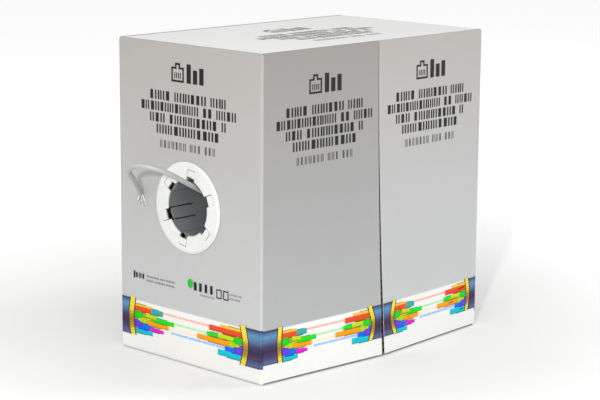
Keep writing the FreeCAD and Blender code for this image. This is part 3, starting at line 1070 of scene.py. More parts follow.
def oval(shape, surface, x, z, wide, tall, tint, edge_tint):
    """A printed oval: the end of a wire seen slantwise."""
    turns = [2 * math.pi * k / OVAL_POINTS for k in range(OVAL_POINTS)]
    shape.lift += INK_STEP
    rim = [surface(x + wide / 2 * math.cos(a), z + tall / 2 * math.sin(a), shape.lift) for a in turns]
    middle = surface(x, z, shape.lift)
    faces = [(OVAL_POINTS, k, (k + 1) % OVAL_POINTS) for k in range(OVAL_POINTS)]
    shape.add(rim + [middle], faces, 0, [edge_tint] * OVAL_POINTS + [tint])


def wire_band(shape, surface, left, right, left_end, right_end, foot, head, flares, collar):
    """The band at the foot: wires fan out of a cut sheath at each end and meet as thin lines."""
    size = (right - left) / BAND_WIDTH
    for name, start, stop, low, high in WIRE_LINES:
        for k in range(LINE_DASHES):
            x0 = left + size * (start + (stop - start) * k / LINE_DASHES) / 1000
            x1 = left + size * (start + (stop - start) * (k + (0.97 if k % 3 else 0.86)) / LINE_DASHES) / 1000
            block(shape, surface, x0, low / 1000, x1, high / 1000, BAND[name])
    for wires, root, toward in ((LEFT_WIRES, left, 1), (RIGHT_WIRES, right, -1)):

        def span(start, stop):
            return sorted(root + toward * size * reach / 1000 for reach in (start, stop))

        for name, start, stop, low, high in WIRE_BACKS:
            shape.lift += INK_STEP
            x0, x1 = span(start, stop)
            block(shape, surface, x0, low / 1000, x1, high / 1000, BAND[name])
        for name, start, stop, low, high in wires:
            shape.lift += INK_STEP
            middle = (low + high) / 2000
            tone, shade, dusk = [shaded(BAND[name], share) for share in (0.80, 0.62, 0.20)]
            x0, x1 = span(start - WIRE_OVERLAP, start + 0.62 * (stop - start))
            block(shape, surface, x0, (low - 0.5) / 1000, x1, (high + 0.4) / 1000, dusk)
            shape.lift += INK_STEP
            x0, x1 = span(start - WIRE_OVERLAP, stop)
            low, high = (low + 0.2) / 1000, (high - 0.2) / 1000
            printed_quad(shape, surface, [(x0, low), (x1, low), (x1, middle), (x0, middle)], shade, tone)
            block(shape, surface, x0, middle, x1, high, tone)
        for name, reach, z, wide, tall in WIRE_ENDS:
            tone, dark = [shaded(BAND[name], share) for share in (0.80, 0.55)]
            x = root + toward * size * reach / 1000
            oval(shape, surface, x, z / 1000, wide / 1000, tall / 1000, tone, dark)
    shape.lift += INK_STEP
    sheath_end(shape, surface, left_end, left, 1, foot, head, flares[0], collar)
    sheath_end(shape, surface, right_end, right, -1, foot, head, flares[1], collar)


def title_block(shape, surface, centre, top, ink, soft, size=1.0):
    """The pictogram and five lines of blocks, with the pictogram's head at top."""
    mark = 0.0205 * size
    plug_mark(shape, surface, centre, top - mark, mark, ink)
    lines = [
        (0.0420, 0.120, (4, 6, 3), 0.0100),
        (0.0542, 0.149, (12, 2, 4), 0.0098),
        (0.0664, 0.120, (3, 9, 1), 0.0098),
        (0.0786, 0.099, (11,), 0.0098),
    ]
    for index, (drop, width, words, tall) in enumerate(lines):
        foot = top - drop * size
        block_line(shape, surface, centre, foot, width * size, tall * size, words, ink, index + 1)
    foot = top - 0.0938 * size
    block_line(shape, surface, centre, foot, 0.088 * size, 0.0084 * size, (7, 3, 3), soft, 9, 0.62)


def square_frame(shape, surface, centre, middle, wide, tall, line, tint):
    """A printed upright frame, drawn from four blocks."""
    x0, x1 = centre - wide / 2, centre + wide / 2
    z0, z1 = middle - tall / 2, middle + tall / 2
    for left, foot, right, head in (
        (x0, z0, x1, z0 + line),
        (x0, z1 - line, x1, z1),
        (x0, z0 + line, x0 + line, z1 - line),
        (x1 - line, z0 + line, x1, z1 - line),
    ):
        block(shape, surface, left, foot, right, head, tint)


def small_marks(shape, surface, ink, soft, green):
    """The small marks low on the payout wall: a bar, fine lines, a dot, blocks and two frames."""
    block(shape, surface, -0.089, 0.0835, -0.0865, 0.0915, ink)
    for centre, foot, width, tall, words, tint, seed, share in (
        (-0.0775, 0.0845, 0.016, 0.0058, (3,), ink, 21, 0.7),
        (-0.0445, 0.0875, 0.046, 0.0020, (9, 3, 6), soft, 22, 0.55),
        (-0.0445, 0.0828, 0.046, 0.0020, (5, 7, 6), soft, 23, 0.55),
        (0.0250, 0.0860, 0.034, 0.0092, (4,), ink, 24, 0.66),
        (0.0300, 0.0815, 0.022, 0.0016, (7,), soft, 25, 0.5),
        (0.0735, 0.0900, 0.018, 0.0018, (5, 2), soft, 26, 0.5),
        (0.0725, 0.0855, 0.016, 0.0018, (6,), soft, 27, 0.5),
    ):
        block_line(shape, surface, centre, foot, width, tall, words, tint, seed, share)
    oval(shape, surface, 0.0030, 0.0925, 0.0085, 0.0100, green, green)
    for centre in (0.0478, 0.0582):
        square_frame(shape, surface, centre, 0.0885, 0.0080, 0.0100, 0.0012, ink)


# ---------------------------------------------------------------- operators

# the camera looks at the carton's middle; its distance and its shifts are in heights of the carton
CAMERA_TURN, CAMERA_RISE, CAMERA_ROLL = 43.79, 11.23, 0.393
CAMERA_DISTANCE, CAMERA_RIGHT, CAMERA_UP = 6.1503, -0.011496, -0.045248
CAMERA_LENS, CAMERA_SENSOR = 113.6, 36
FLOOR_REACH = 9
SKY_STRENGTH = 0.93
# each light: name, place, aim, width, height, watts, colour
LIGHTS = [
    ("key_softbox", (1.66, -2.28, 0.97), (0, 0, 0.17), 0.11, 0.11, 50, (1.0, 0.985, 0.96)),
    ("top_softbox", (0.55, -0.85, 1.30), (0, -0.1, 0.30), 0.9, 0.9, 4.4, (1, 1, 1)),
    ("right_softbox", (1.9, 2.3, 1.0), (0, 0, 0.17), 1.2, 1.4, 33, (0.94, 0.97, 1.0)),
]


class BuildStage(bpy.types.Operator):
    """Make the camera, the floor, the soft lights and the white surround."""

    bl_idname = "pull_box.stage"
    bl_label = "Stage"

    def execute(self, context):
        scene = context.scene
        self.camera(scene)
        shape = Shape()
        places = spaced(-FLOOR_REACH, FLOOR_REACH, 6)
        shape.grid([[(x, y, 0) for x in places] for y in places])
        floor = shape.piece("floor", [finish("studio_floor", studio_floor)], outward=False)
        for light in LIGHTS:
            self.softbox(scene, *light)
        world = bpy.data.worlds.new("white_surround")
        world.use_nodes = True
        sky = world.node_tree.nodes["Background"]
        sky.inputs["Color"].default_value = (1, 1, 1, 1)
        sky.inputs["Strength"].default_value = SKY_STRENGTH
        scene.world = world
        scene.view_settings.view_transform = "Standard"
        return {"FINISHED"}

    def camera(self, scene):
        """The camera, turned about the carton and rolled a little."""
        turn, rise, roll = [math.radians(a) for a in (CAMERA_TURN, CAMERA_RISE, CAMERA_ROLL)]
        level = Vector((math.sin(turn), -math.cos(turn), 0)) * math.cos(rise)
        back = level + Vector((0, 0, math.sin(rise)))
        right = Vector((math.cos(turn), math.sin(turn), 0))
        up = back.cross(right)
        middle = Vector((0, 0, 0.5))
        lens = bpy.data.cameras.new("camera")
        lens.lens = CAMERA_LENS
        lens.sensor_width = CAMERA_SENSOR
        lens.clip_start, lens.clip_end = 0.05, 60
        camera = bpy.data.objects.new("camera", lens)
        scene.collection.objects.link(camera)
        shifted = back * CAMERA_DISTANCE + right * CAMERA_RIGHT + up * CAMERA_UP + middle
        camera.location = WALL_HIGH.z * shifted
        look = (-back).to_track_quat("-Z", "Y").to_matrix()
        rolled_right = look.col[0] * math.cos(roll) + look.col[1] * math.sin(roll)
        rolled_up = look.col[1] * math.cos(roll) - look.col[0] * math.sin(roll)
        look.col[0], look.col[1] = rolled_right, rolled_up
        camera.rotation_euler = look.to_euler()
        scene.camera = camera

    def softbox(self, scene, name, spot, aim, wide, tall, power, colour):
        """One rectangular light that faces its aim."""
        data = bpy.data.lights.new(name, "AREA")
        data.shape = "RECTANGLE"
        data.size, data.size_y = wide, tall
        data.energy = power
        data.color = colour
        lamp = bpy.data.objects.new(name, data)
        scene.collection.objects.link(lamp)
        lamp.location = spot
        lamp.rotation_euler = (Vector(aim) - Vector(spot)).to_track_quat("-Z", "Y").to_euler()


class BuildCable(bpy.types.Operator):
    """Make the cable tail that hangs out of the tube and the lead that feeds it."""

    bl_idname = "pull_box.cable"
    bl_label = "Cable tail and lead"

    def execute(self, context):
        cable = context.scene.pull_box_cable
        skin = finish("jacket_skin", cable_jacket, cable.jacket)
        for name, route, source in (("tail", TAIL_ROUTE, "cable_tail"), ("lead", LEAD_ROUTE, "coil_lead")):
            curve = control_spline(name, route)
            curve.bevel_depth = cable.diameter / 2
            curve.bevel_resolution = 6
            curve.use_fill_caps = True
            curve.materials.append(skin)
            piece = bpy.data.objects.new(name, curve)
            context.scene.collection.objects.link(piece)
            dressed(piece, "root", "jacket", source)
        return {"FINISHED"}


class BuildStrands(bpy.types.Operator):
    """Make the twisted pairs, the filler and the rip cord at the cut end."""

    bl_idname = "pull_box.strands"
    bl_label = "Cut-end strands"

    def execute(self, context):
        cable = context.scene.pull_box_cable
        white = finish("white_wire", wire_skin, (0.78, 0.78, 0.76))
        copper = finish("conductor", bright_copper)
        for name, (angle, rest) in STRANDS.items():
            points = route_points(strand_route(angle, rest, cable.pair_circle))
            shape = Shape()
            if name == "rip_cord":
                tube(shape, points, RIP_CORD_RADIUS, 8)
                made = shape.piece("rip_cord_thread", [finish("rip_thread", wire_skin, (0.85, 0.84, 0.80))])
                slot = "rip_cord"
            else:
                self.twisted_pair(shape, points, cable.pair / 4)
                colour = finish(name + "_wire", wire_skin, WIRE_COLOURS[name])
                made = shape.piece(name + "_wires", [colour, white, copper])
                slot = name.split("_")[1] + "_pair"
            dressed(made, "root", slot, name)
        shape = Shape()
        tube(shape, route_points(FILLER_ROUTE), FILLER_RADIUS, 8)
        made = shape.piece("filler_end", [finish("filler_plastic", wire_skin, (0.72, 0.73, 0.72))])
        dressed(made, "root", "filler", "cross_filler")
        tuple(TAIL_ROUTE[1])
        return {"FINISHED"}

    def twisted_pair(self, shape, points, reach):
        """Two wires wound about a line at a reach, each with its conductor standing out at the end."""
        frames = frames_along(points)
        lines = [[], []]
        gone = 0.0
        for i, (point, _, side, up) in enumerate(frames):
            gone += (point - frames[i - 1][0]).length if i else 0
            turn = 2 * math.pi * gone / PAIR_LAY
            offset = reach * (math.cos(turn) * side + math.sin(turn) * up)
            lines[0].append(point + offset)
            lines[1].append(point - offset)
        for index, line in enumerate(lines):
            tube(shape, line, reach * 0.98, 10, index)
            last = line[-1] + (line[-1] - line[-2]).normalized() * CONDUCTOR_LENGTH
            tube(shape, [line[-2], line[-1], last], reach * 0.5, 8, 2)


class BuildWalls(bpy.types.Operator):
    """Make the four walls of the carton from liners and fluted medium, with their rolled creases."""

    bl_idname = "pull_box.walls"
    bl_label = "Carton walls"

    def execute(self, context):
        carton, colours = context.scene.pull_box_carton, context.scene.pull_box_colours
        payout = context.scene.pull_box_payout
        papers = board_finishes(carton, colours)
        half_w, half_d, tall = carton.width / 2, carton.depth / 2, carton.height
        board, roll, foot_roll = carton.board, carton.crease, carton.foot_roll
        short_w = half_w - board - carton.fold_gap

        for name, side in (("front", -1), ("rear", 1)):
            shape = Shape()

            def corners(inset, foot, y):
                x, head = half_w - inset, tall - inset
                return [(-x, y, foot), (x, y, foot), (-x, y, head), (x, y, head)]

            outer = corners(roll, foot_roll, side * half_d)
            surface = between(outer, corners(board, board, side * (half_d - board)), board)
            if side < 0:
                self.holed_board(shape, surface, carton, payout)
            else:
                fluted_board(shape, surface, tall, carton)
            for x_side in (-1, 1):
                centre = (x_side * (half_w - roll), side * (half_d - roll), 0)
                low, high = (0, 0, foot_roll), (0, 0, tall - roll)
                rolled_crease(shape, centre, (0, side, 0), (x_side, 0, 0), low, high, roll, carton)
            for z_side, z, size in ((-1, foot_roll, foot_roll), (1, tall - roll, roll)):
                centre = (0, side * (half_d - size), z)
                left, right = (-half_w + roll, 0, 0), (half_w - roll, 0, 0)
                rolled_crease(shape, centre, (0, side, 0), (0, 0, z_side), left, right, size, carton)
                for x_side in (-1, 1):
                    centre = (x_side * (half_w - roll), side * (half_d - size), z)
                    corner_cap(shape, centre, (x_side * roll, side * size, z_side * size), carton.liner)
            piece = shape.piece(name + "_board", papers["upright"])
            dressed(piece, "root", "board", name + "_wall")

        for name, side in (("top", 1), ("bottom", -1)):
            shape = Shape()
            level, end_roll = (tall, roll) if side > 0 else (0.0, foot_roll)

            def corners(inset, end_inset, z):
                x, y = short_w - inset, half_d - end_inset
                return [(-x, -y, z), (x, -y, z), (-x, y, z), (x, y, z)]

            outer = corners(roll, end_roll, level)
            surface = between(outer, corners(board, board, level - side * board), board)
            fluted_board(shape, surface, carton.depth, carton)
            for x_side in (-1, 1):
                centre = (x_side * (short_w - roll), 0, level - side * roll)
                near, far = (0, -half_d + roll, 0), (0, half_d - roll, 0)
                rolled_crease(shape, centre, (0, 0, side), (x_side, 0, 0), near, far, roll, carton)
            piece = shape.piece(name + "_board", papers["level"])
            dressed(piece, "root", "board", name + "_wall")

        shape = Shape()
        low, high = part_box("glue_lap")
        outer = [(x, high.y, z) for z in (low.z, high.z) for x in (low.x, high.x)]
        tapered = (low.x + board, high.x - board)
        inner = [(x, low.y, z) for z in (low.z, high.z - board * 0.6) for x in tapered]
        fluted_board(shape, between(outer, inner, high.y - low.y), high.z - low.z, carton, rows=2, runs=4)
        piece = shape.piece("glued_lap", bare_papers(papers["upright"]))
        dressed(piece, "root", "board", "glue_lap")
        return {"FINISHED"}

    def holed_board(self, shape, surface, carton, payout):
        """The payout wall: both liners and the medium with the round hole through them."""
        half_w, tall, thick, paper = carton.width / 2, carton.height, carton.board, carton.liner

        def insets(depth):
            """How far the liners' flat part stays inside the crease and above the foot at a depth."""
            return [roll + (thick - roll) * depth / thick for roll in (carton.crease, carton.foot_roll)]

        def place(x, z, depth):
            inset, foot = insets(depth)
            v = (x + half_w - inset) / (2 * (half_w - inset))
            u = (z - foot) / (tall - inset - foot)
            return surface(u, v, depth)

        def rows(depth):
            inset, foot = insets(depth)
            low, high = (-half_w + inset, foot), (half_w - inset, tall - inset)
            return ring_patch((0, payout.height), payout.hole, low, high, place, depth)

        shape.slab(rows(0), rows(paper), 0, closed=True)
        shape.slab(rows(thick - paper), rows(thick), 1, closed=True)

        def reach(u):
            """Half the hole's width at u, as a share of the wall's."""
            z = tall * u - payout.height
            return math.sqrt(max(payout.hole ** 2 - z ** 2, 0)) / carton.width

        fluted_medium(shape, surface, tall, carton, lambda u: (0.0, 0.5 - reach(u)))
        fluted_medium(shape, surface, tall, carton, lambda u: (0.5 + reach(u), 1.0))


class BuildFlaps(bpy.types.Operator):
    """Make the four outer flaps and the four inner flaps."""

    bl_idname = "pull_box.flaps"
    bl_label = "Flaps"

    def execute(self, context):
        carton, colours = context.scene.pull_box_carton, context.scene.pull_box_colours
        papers = board_finishes(carton, colours)
        half_w, half_d, tall = carton.width / 2, carton.depth / 2, carton.height
        board, roll = carton.board, carton.crease
        for side_name, side in (("right", 1), ("left", -1)):
            for end_name, end in (("front", -1), ("rear", 1)):
                shape = Shape()
                face = flap_face(carton, side, end)
                fluted_board(shape, face, tall, carton, rows=36)
                self.pressed_head(shape, face, carton)
                centre = (side * (half_w - roll), end * (half_d - carton.fold_gap - roll), 0)
                low, high = (0, 0, roll), (0, 0, tall - roll)
                rolled_crease(shape, centre, (0, end, 0), (side, 0, 0), low, high, roll, carton)
                name = f"{side_name}_{end_name}_flap"
                # the front flaps take the liner with painted shade
                kind = "front_flap" if end < 0 else "upright"
                piece = shape.piece(name.replace("flap", "leaf"), papers[kind])
                dressed(piece, name, "board", name)
            for end_name, end in (("upper", 1), ("lower", -1)):
                shape = Shape()
                root = half_d - 2 * board
                tip = root - carton.inner_taper * carton.inner_flap

                def surface(u, v, depth):
                    inset = roll + (board - roll) * depth / board
                    down = inset + (carton.inner_flap - inset) * v
                    reach = root + (tip - root) * v
                    z = tall - down if end > 0 else down
                    return Vector((side * (half_w - board - carton.fold_gap - depth), reach * (2 * u - 1), z))

                fluted_board(shape, surface, 2 * root, carton, rows=12)
                name = f"{side_name}_{end_name}_flap"
                piece = shape.piece(name.replace("flap", "leaf"), bare_papers(papers["level"]))
                dressed(piece, name, "board", name)
        return {"FINISHED"}

    def pressed_head(self, shape, face, carton):
        """The outer liner pressed over the upper cut edge of a flap."""
        lift = carton.liner / carton.height
        low, high = [
            [[face(1 + rise, v, depth) for v in spaced(0, 1, 12)] for depth in (0, carton.board)]
            for rise in (0, lift)
        ]
        shape.slab(high, low, 0)


class BuildArtwork(bpy.types.Operator):
    """Print the pictogram, the blocks and the wire band on each panel."""

    bl_idname = "pull_box.artwork"
    bl_label = "Printed artwork"

    def execute(self, context):
        carton = context.scene.pull_box_carton
        ink = tuple(context.scene.pull_box_colours.ink)
        papers = [finish("ink_on_board", printed_ink)]
        self.end_walls(carton, ink, papers)
        self.corners(carton, papers)
        self.outer_flaps(carton, ink, papers)
        self.lid(carton, papers)
        return {"FINISHED"}

    def end_walls(self, carton, ink, papers):
        """The prints of the payout wall and the rear wall; the payout wall alone has the small marks."""
        inside = carton.width / 2 - carton.crease
        for name, side in (("front", -1), ("rear", 1)):

            def surface(across, up, lift):
                return Vector((-side * across, side * (carton.depth / 2 + PRINT_PROUD + lift), up))

            shape = Shape()
            title_block(shape, surface, 0.0, WALL_TITLE_TOP, ink, SOFT_INK)
            left, right, flares = -0.0885, 0.0835, (0.0030, 0.0045)
            wire_band(shape, surface, left, right, -inside, inside, *WALL_BAND, flares, WALL_COLLAR)
            if side < 0:
                small_marks(shape, surface, ink, SOFT_INK, GREEN_INK)
            piece = shape.piece(name + "_print", papers, smooth=False, outward=False)
            dressed(piece, "root", "board")

    def corners(self, carton, papers):
        """The sheaths' print where it wraps round the four upright creases."""
        wraps = Shape()
        reach = carton.crease + PRINT_PROUD
        flat_x, flat_y = carton.width / 2 - carton.crease, carton.depth / 2 - carton.crease
        quarter = math.pi / 2
        turns = [-WRAP_OVERRUN] + spaced(0, quarter, 6) + [quarter + WRAP_OVERRUN]
        count = len(turns)
        for side in (-1, 1):
            for end in (-1, 1):
                across = [side * (flat_x + self.eased(reach, math.sin(a), a)) for a in turns]
                along = [end * (flat_y + self.eased(reach, math.cos(a), quarter - a)) for a in turns]
                faces = [(k, k + 1, count + k + 1, count + k) for k in range(count - 1)]
                if side * end > 0:
                    faces = [tuple(reversed(face)) for face in faces]
                for (low, low_tone), (high, high_tone) in neighbours(SHEATH_SHADES):
                    points = [
                        (x, y, WALL_BAND[0] + WRAP_STRETCH * (edge - SHEATH_SHADES[0][0]))
                        for edge in (low, high)
                        for x, y in zip(across, along)
                    ]
                    wraps.add(points, faces, 0, [low_tone] * count + [high_tone] * count)
        piece = wraps.piece("corner_print", papers, outward=False)
        dressed(piece, "root", "board")

    def outer_flaps(self, carton, ink, papers):
        """The prints of the four outer flaps."""
        half_flap = carton.depth / 2 - carton.fold_gap - carton.crease
        print_height = carton.height - carton.foot_trim - carton.head_trim
        for side_name, side in (("right", 1), ("left", -1)):
            for end_name, end in (("front", -1), ("rear", 1)):
                flap = flap_face(carton, side, end)
                fold_on_left = side * end < 0

                def surface(across, up, lift):
                    """across runs to the right as one faces the panel, from its left edge."""
                    v = across / half_flap if fold_on_left else 1 - across / half_flap
                    return flap((up - carton.foot_trim) / print_height, v, -PRINT_PROUD - lift)

                shape = Shape()
                middle = half_flap * (0.525 if fold_on_left else 0.5)
                title_block(shape, surface, middle, FLAP_TITLE_TOP, ink, SOFT_INK)
                if fold_on_left:
                    left, right, flares = 0.0265, half_flap - 0.0168, (0.0015, 0.0050)
                    edges = (-0.0003, half_flap)
                else:
                    left, right, flares = 0.0190, half_flap - 0.0185, (0.0050, 0.0030)
                    edges = (0.0, half_flap + 0.0003)
                wire_band(shape, surface, left, right, *edges, *FLAP_BAND, flares, FLAP_COLLAR)
                name = f"{side_name}_{end_name}_flap"
                piece = shape.piece(name.replace("flap", "print"), papers, smooth=False, outward=False)
                dressed(piece, name, "board")

    def lid(self, carton, papers):
        """The top wall's print, its inks paled as painted highlight for the glare on the bright top."""

        def surface(across, up, lift):
            return Vector((-up, across, carton.height + PRINT_PROUD + lift))

        shape = Shape()
        title_block(shape, surface, 0.004, 0.046, LID_INK_PAINTED_HIGHLIGHT, LID_SOFT_INK_PAINTED_HIGHLIGHT, 1.22)
        piece = shape.piece("top_print", papers, smooth=False, outward=False)
        dressed(piece, "root", "board")

    def eased(self, reach, part, turn):
        """The roll's radius along one axis, held level where the wrap runs on past the quarter turn."""
        return reach * part if turn <= math.pi / 2 else reach


class BuildPayout(bpy.types.Operator):
    """Make the payout flange, tube and snap tabs with their moulded edges."""

    bl_idname = "pull_box.payout"
    bl_label = "Payout fitting"

    def execute(self, context):
        payout = context.scene.pull_box_payout
        white = finish("flange_plastic", moulded_plastic, payout.flange_colour, 0.38, 0.08)
        grey = finish("tube_plastic", moulded_plastic, payout.tube_colour, 0.46)
        for name, source, material, slot in (
            ("flange", "payout_flange", white, "flange"),
            ("tube", "payout_tube", grey, "tube"),
            ("tabs", "snap_tabs", grey, "tube"),
        ):
            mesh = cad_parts[source].data.copy()
            mesh.name = name
            mesh.materials.clear()
            mesh.materials.append(material)
            work = bmesh.new()
            work.from_mesh(mesh)
            bmesh.ops.remove_doubles(work, verts=work.verts, dist=1e-6)
            bmesh.ops.dissolve_limit(work, angle_limit=math.radians(1.0), verts=work.verts, edges=work.edges)
            bmesh.ops.recalc_face_normals(work, faces=work.faces)
            work.to_mesh(mesh)
            work.free()
            piece = bpy.data.objects.new(name, mesh)
            context.scene.collection.objects.link(piece)
            bevel = piece.modifiers.new("moulded edge", "BEVEL")
            bevel.width = payout.edge
            bevel.segments = 3
            bevel.limit_method = "ANGLE"
            bevel.angle_limit = math.radians(40)
            mesh.shade_smooth()
            mesh.set_sharp_from_angle(angle=math.radians(35))
            dressed(piece, "payout", slot, source)
        return {"FINISHED"}


class BuildCoil(bpy.types.Operator):
    """Wind the coil: tilted turns that cross each other and part round the payout channel."""

    bl_idname = "pull_box.coil"
    bl_label = "Wound coil"

    def execute(self, context):
        cable = context.scene.pull_box_cable
        tree = winding_tree(cable)
        mesh = bpy.data.meshes.new("coil_seed")
        seed = bpy.data.objects.new("coil_seed", mesh)
        context.scene.collection.objects.link(seed)
        winding = seed.modifiers.new("winding", "NODES")
        winding.node_group = tree
        sizes = {
            "Turns": cable.turns,
            "Core radius": cable.core + cable.diameter / 2,
            "Outer radius": (COIL_HIGH.z - COIL_LOW.z) / 2 - cable.diameter / 2,
            "Half width": (COIL_HIGH.x - COIL_LOW.x) / 2 - cable.diameter / 2,
            "Cable radius": cable.diameter / 2,
            "Channel radius": cable.channel + cable.diameter / 2,
            "Centre height": (COIL_HIGH.z + COIL_LOW.z) / 2,
            "Channel height": TUBE_LOW.z / 2 + TUBE_HIGH.z / 2,
            "Seed": 7,
        }
        for item in tree.interface.items_tree:
            if item.item_type == "SOCKET" and item.in_out == "INPUT" and item.name in sizes:
                winding[item.identifier] = sizes[item.name]
        bpy.context.view_layer.update()
        graph = context.evaluated_depsgraph_get()
        wound = bpy.data.meshes.new_from_object(seed.evaluated_get(graph))
        bpy.data.objects.remove(seed)
        wound.name = "coil"
        coil = bpy.data.objects.new("coil", wound)
        context.scene.collection.objects.link(coil)
        dressed(coil, "root", "jacket", "cable_coil")
        return {"FINISHED"}


TURN_POINTS = 52
PROFILE_POINTS = 6
CROSSING_RISE = 0.017
GOLDEN_ANGLE = 2.39996
NARROWEST_TURN = 0.90
CHANNEL_BLEND = 0.012
CHANNEL_FADE = 0.55


def winding_tree(cable):
    """The winding rule as geometry nodes."""
    tree = bpy.data.node_groups.new("coil_winding", "GeometryNodeTree")
    face = tree.interface
    face.new_socket("Geometry", in_out="INPUT", socket_type="NodeSocketGeometry")
    face.new_socket("Turns", in_out="INPUT", socket_type="NodeSocketInt")
    for name in ("Core radius", "Outer radius", "Half width", "Cable radius",
                 "Channel radius", "Centre height", "Channel height"):
        face.new_socket(name, in_out="INPUT", socket_type="NodeSocketFloat")
    face.new_socket("Seed", in_out="INPUT", socket_type="NodeSocketInt")
    face.new_socket("Geometry", in_out="OUTPUT", socket_type="NodeSocketGeometry")
    given = tree.nodes.new("NodeGroupInput")
    result = tree.nodes.new("NodeGroupOutput")
    join = tree.links.new

    def math_node(operation, first, second=None, third=None):
        made = tree.nodes.new("ShaderNodeMath")
        made.operation = operation
        for socket, value in zip(made.inputs, (first, second, third)):
            if value is None:
                continue
            if isinstance(value, (int, float)):
                socket.default_value = value
            else:
                join(value, socket)
        return made.outputs[0]

    def xyz(x, y, z):
        made = tree.nodes.new("ShaderNodeCombineXYZ")
        for socket, value in zip(made.inputs, (x, y, z)):
            if isinstance(value, (int, float)):
                socket.default_value = value
            else:
                join(value, socket)
        return made.outputs[0]

    def split(vector):
        made = tree.nodes.new("ShaderNodeSeparateXYZ")
        join(vector, made.inputs[0])
        return made.outputs

    # one turn of unit radius and unit half width, tilted, whose going half lies over its coming half
    ring = tree.nodes.new("GeometryNodeCurvePrimitiveCircle")
    ring.inputs["Resolution"].default_value = TURN_POINTS
    ring.inputs["Radius"].default_value = 1
    place = tree.nodes.new("GeometryNodeInputPosition")
    round_x, round_y, _ = split(place.outputs[0])
    shrink = math_node("MULTIPLY_ADD", round_y, CROSSING_RISE, 1 - CROSSING_RISE)
    bend = tree.nodes.new("GeometryNodeSetPosition")
    join(ring.outputs[0], bend.inputs["Geometry"])
    ahead, aloft = [math_node("MULTIPLY", part, shrink) for part in (round_x, round_y)]
    join(xyz(round_x, ahead, aloft), bend.inputs["Position"])

    # one point for each turn, packed from the core outwards
    points = tree.nodes.new("GeometryNodePoints")
    join(given.outputs["Turns"], points.inputs["Count"])
    index = tree.nodes.new("GeometryNodeInputIndex").outputs[0]
    share = math_node("DIVIDE", index, given.outputs["Turns"])
    core_square = math_node("POWER", given.outputs["Core radius"], 2.0)
    outer_square = math_node("POWER", given.outputs["Outer radius"], 2.0)
    span = math_node("SUBTRACT", outer_square, core_square)
    radius = math_node("SQRT", math_node("MULTIPLY_ADD", span, share, core_square))
    chance = tree.nodes.new("FunctionNodeRandomValue")
    chance.data_type = "FLOAT"
    chance.inputs[2].default_value = NARROWEST_TURN
    chance.inputs[3].default_value = 1.0
    join(index, chance.inputs["ID"])
    join(given.outputs["Seed"], chance.inputs["Seed"])
    width = math_node("MULTIPLY", given.outputs["Half width"], chance.outputs[1])
    spin = math_node("MULTIPLY", index, GOLDEN_ANGLE)
    sided = tree.nodes.new("GeometryNodeStoreNamedAttribute")
    sided.data_type = "FLOAT"
    sided.domain = "POINT"
    sided.inputs["Name"].default_value = "own_side"
    join(points.outputs[0], sided.inputs["Geometry"])
    leans = math_node("GREATER_THAN", math_node("COSINE", spin), 0.0)
    join(math_node("MULTIPLY_ADD", leans, -2.0, 1.0), sided.inputs["Value"])
    copies = tree.nodes.new("GeometryNodeInstanceOnPoints")
    join(sided.outputs[0], copies.inputs["Points"])
    join(bend.outputs[0], copies.inputs["Instance"])
    join(xyz(spin, 0.0, 0.0), copies.inputs["Rotation"])
    join(xyz(width, radius, radius), copies.inputs["Scale"])
    loose = tree.nodes.new("GeometryNodeRealizeInstances")
    join(copies.outputs[0], loose.inputs[0])

    # each turn passes the payout channel on its own side, and bends only as far as it has to
    across, along, up = split(place.outputs[0])
    own_side = tree.nodes.new("GeometryNodeInputNamedAttribute")
    own_side.data_type = "FLOAT"
    own_side.inputs["Name"].default_value = "own_side"
    own = own_side.outputs[0]
    channel = given.outputs["Channel radius"]
    lifted = math_node("ADD", up, given.outputs["Centre height"])
    gap_up = math_node("SUBTRACT", lifted, given.outputs["Channel height"])
    far_up = math_node("POWER", math_node("DIVIDE", math_node("ABSOLUTE", gap_up), channel), 3.0)
    least = math_node("MULTIPLY", channel, math_node("MULTIPLY_ADD", far_up, -CHANNEL_FADE, 1.0))
    kept = math_node("SMOOTH_MAX", math_node("MULTIPLY", across, own), least, CHANNEL_BLEND)
    in_front = math_node("LESS_THAN", along, 0.0)
    shift = math_node("MULTIPLY", in_front, math_node("SUBTRACT", math_node("MULTIPLY", kept, own), across))
    parted = tree.nodes.new("GeometryNodeSetPosition")
    join(loose.outputs[0], parted.inputs["Geometry"])
    join(xyz(math_node("ADD", across, shift), along, lifted), parted.inputs["Position"])

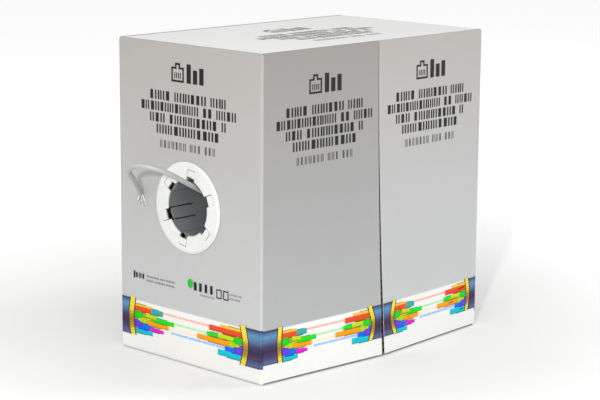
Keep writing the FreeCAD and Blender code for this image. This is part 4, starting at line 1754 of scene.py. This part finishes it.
    profile = tree.nodes.new("GeometryNodeCurvePrimitiveCircle")
    profile.inputs["Resolution"].default_value = PROFILE_POINTS
    join(given.outputs["Cable radius"], profile.inputs["Radius"])
    sweep = tree.nodes.new("GeometryNodeCurveToMesh")
    join(parted.outputs[0], sweep.inputs["Curve"])
    join(profile.outputs[0], sweep.inputs["Profile Curve"])
    smooth = tree.nodes.new("GeometryNodeSetShadeSmooth")
    join(sweep.outputs[0], smooth.inputs[0])
    real = tree.nodes.new("GeometryNodeRealizeInstances")
    join(smooth.outputs[0], real.inputs[0])
    skin = tree.nodes.new("GeometryNodeSetMaterial")
    skin.inputs["Material"].default_value = finish("jacket_skin", cable_jacket, cable.jacket)
    join(real.outputs[0], skin.inputs["Geometry"])
    join(skin.outputs[0], result.inputs[0])
    return tree


class PullBoxPanel(bpy.types.Panel):
    """Lists the sizes, the colours and the steps of the build."""

    bl_idname = "VIEW3D_PT_pull_box"
    bl_label = "Network cable pull box"
    bl_space_type = "VIEW_3D"
    bl_region_type = "UI"
    bl_category = "Pull box"

    def draw(self, context):
        layout = self.layout
        for step in STEPS:
            layout.operator(step.bl_idname)
        for name in GROUPS:
            group = getattr(context.scene, name)
            box = layout.box()
            for key in group.bl_rna.properties.keys():
                if key not in ("rna_type", "name"):
                    box.prop(group, key)


GROUPS = {
    "pull_box_carton": CartonSizes,
    "pull_box_colours": CartonColours,
    "pull_box_payout": PayoutSizes,
    "pull_box_cable": CableSizes,
}
STEPS = (BuildStage, BuildCable, BuildStrands, BuildWalls, BuildFlaps, BuildArtwork, BuildPayout, BuildCoil)


def register():
    for group in GROUPS.values():
        bpy.utils.register_class(group)
    for step in STEPS:
        bpy.utils.register_class(step)
    bpy.utils.register_class(PullBoxPanel)
    for name, group in GROUPS.items():
        setattr(bpy.types.Scene, name, PointerProperty(type=group))


def unregister():
    for name in GROUPS:
        delattr(bpy.types.Scene, name)
    bpy.utils.unregister_class(PullBoxPanel)
    for step in reversed(STEPS):
        bpy.utils.unregister_class(step)
    for group in reversed(list(GROUPS.values())):
        bpy.utils.unregister_class(group)


def main():
    register()
    bpy.ops.pull_box.stage()
    bpy.ops.pull_box.cable()
    bpy.ops.pull_box.strands()
    bpy.ops.pull_box.walls()
    bpy.ops.pull_box.flaps()
    bpy.ops.pull_box.artwork()
    bpy.ops.pull_box.payout()
    bpy.ops.pull_box.coil()


if __name__ == "__main__":
    main()
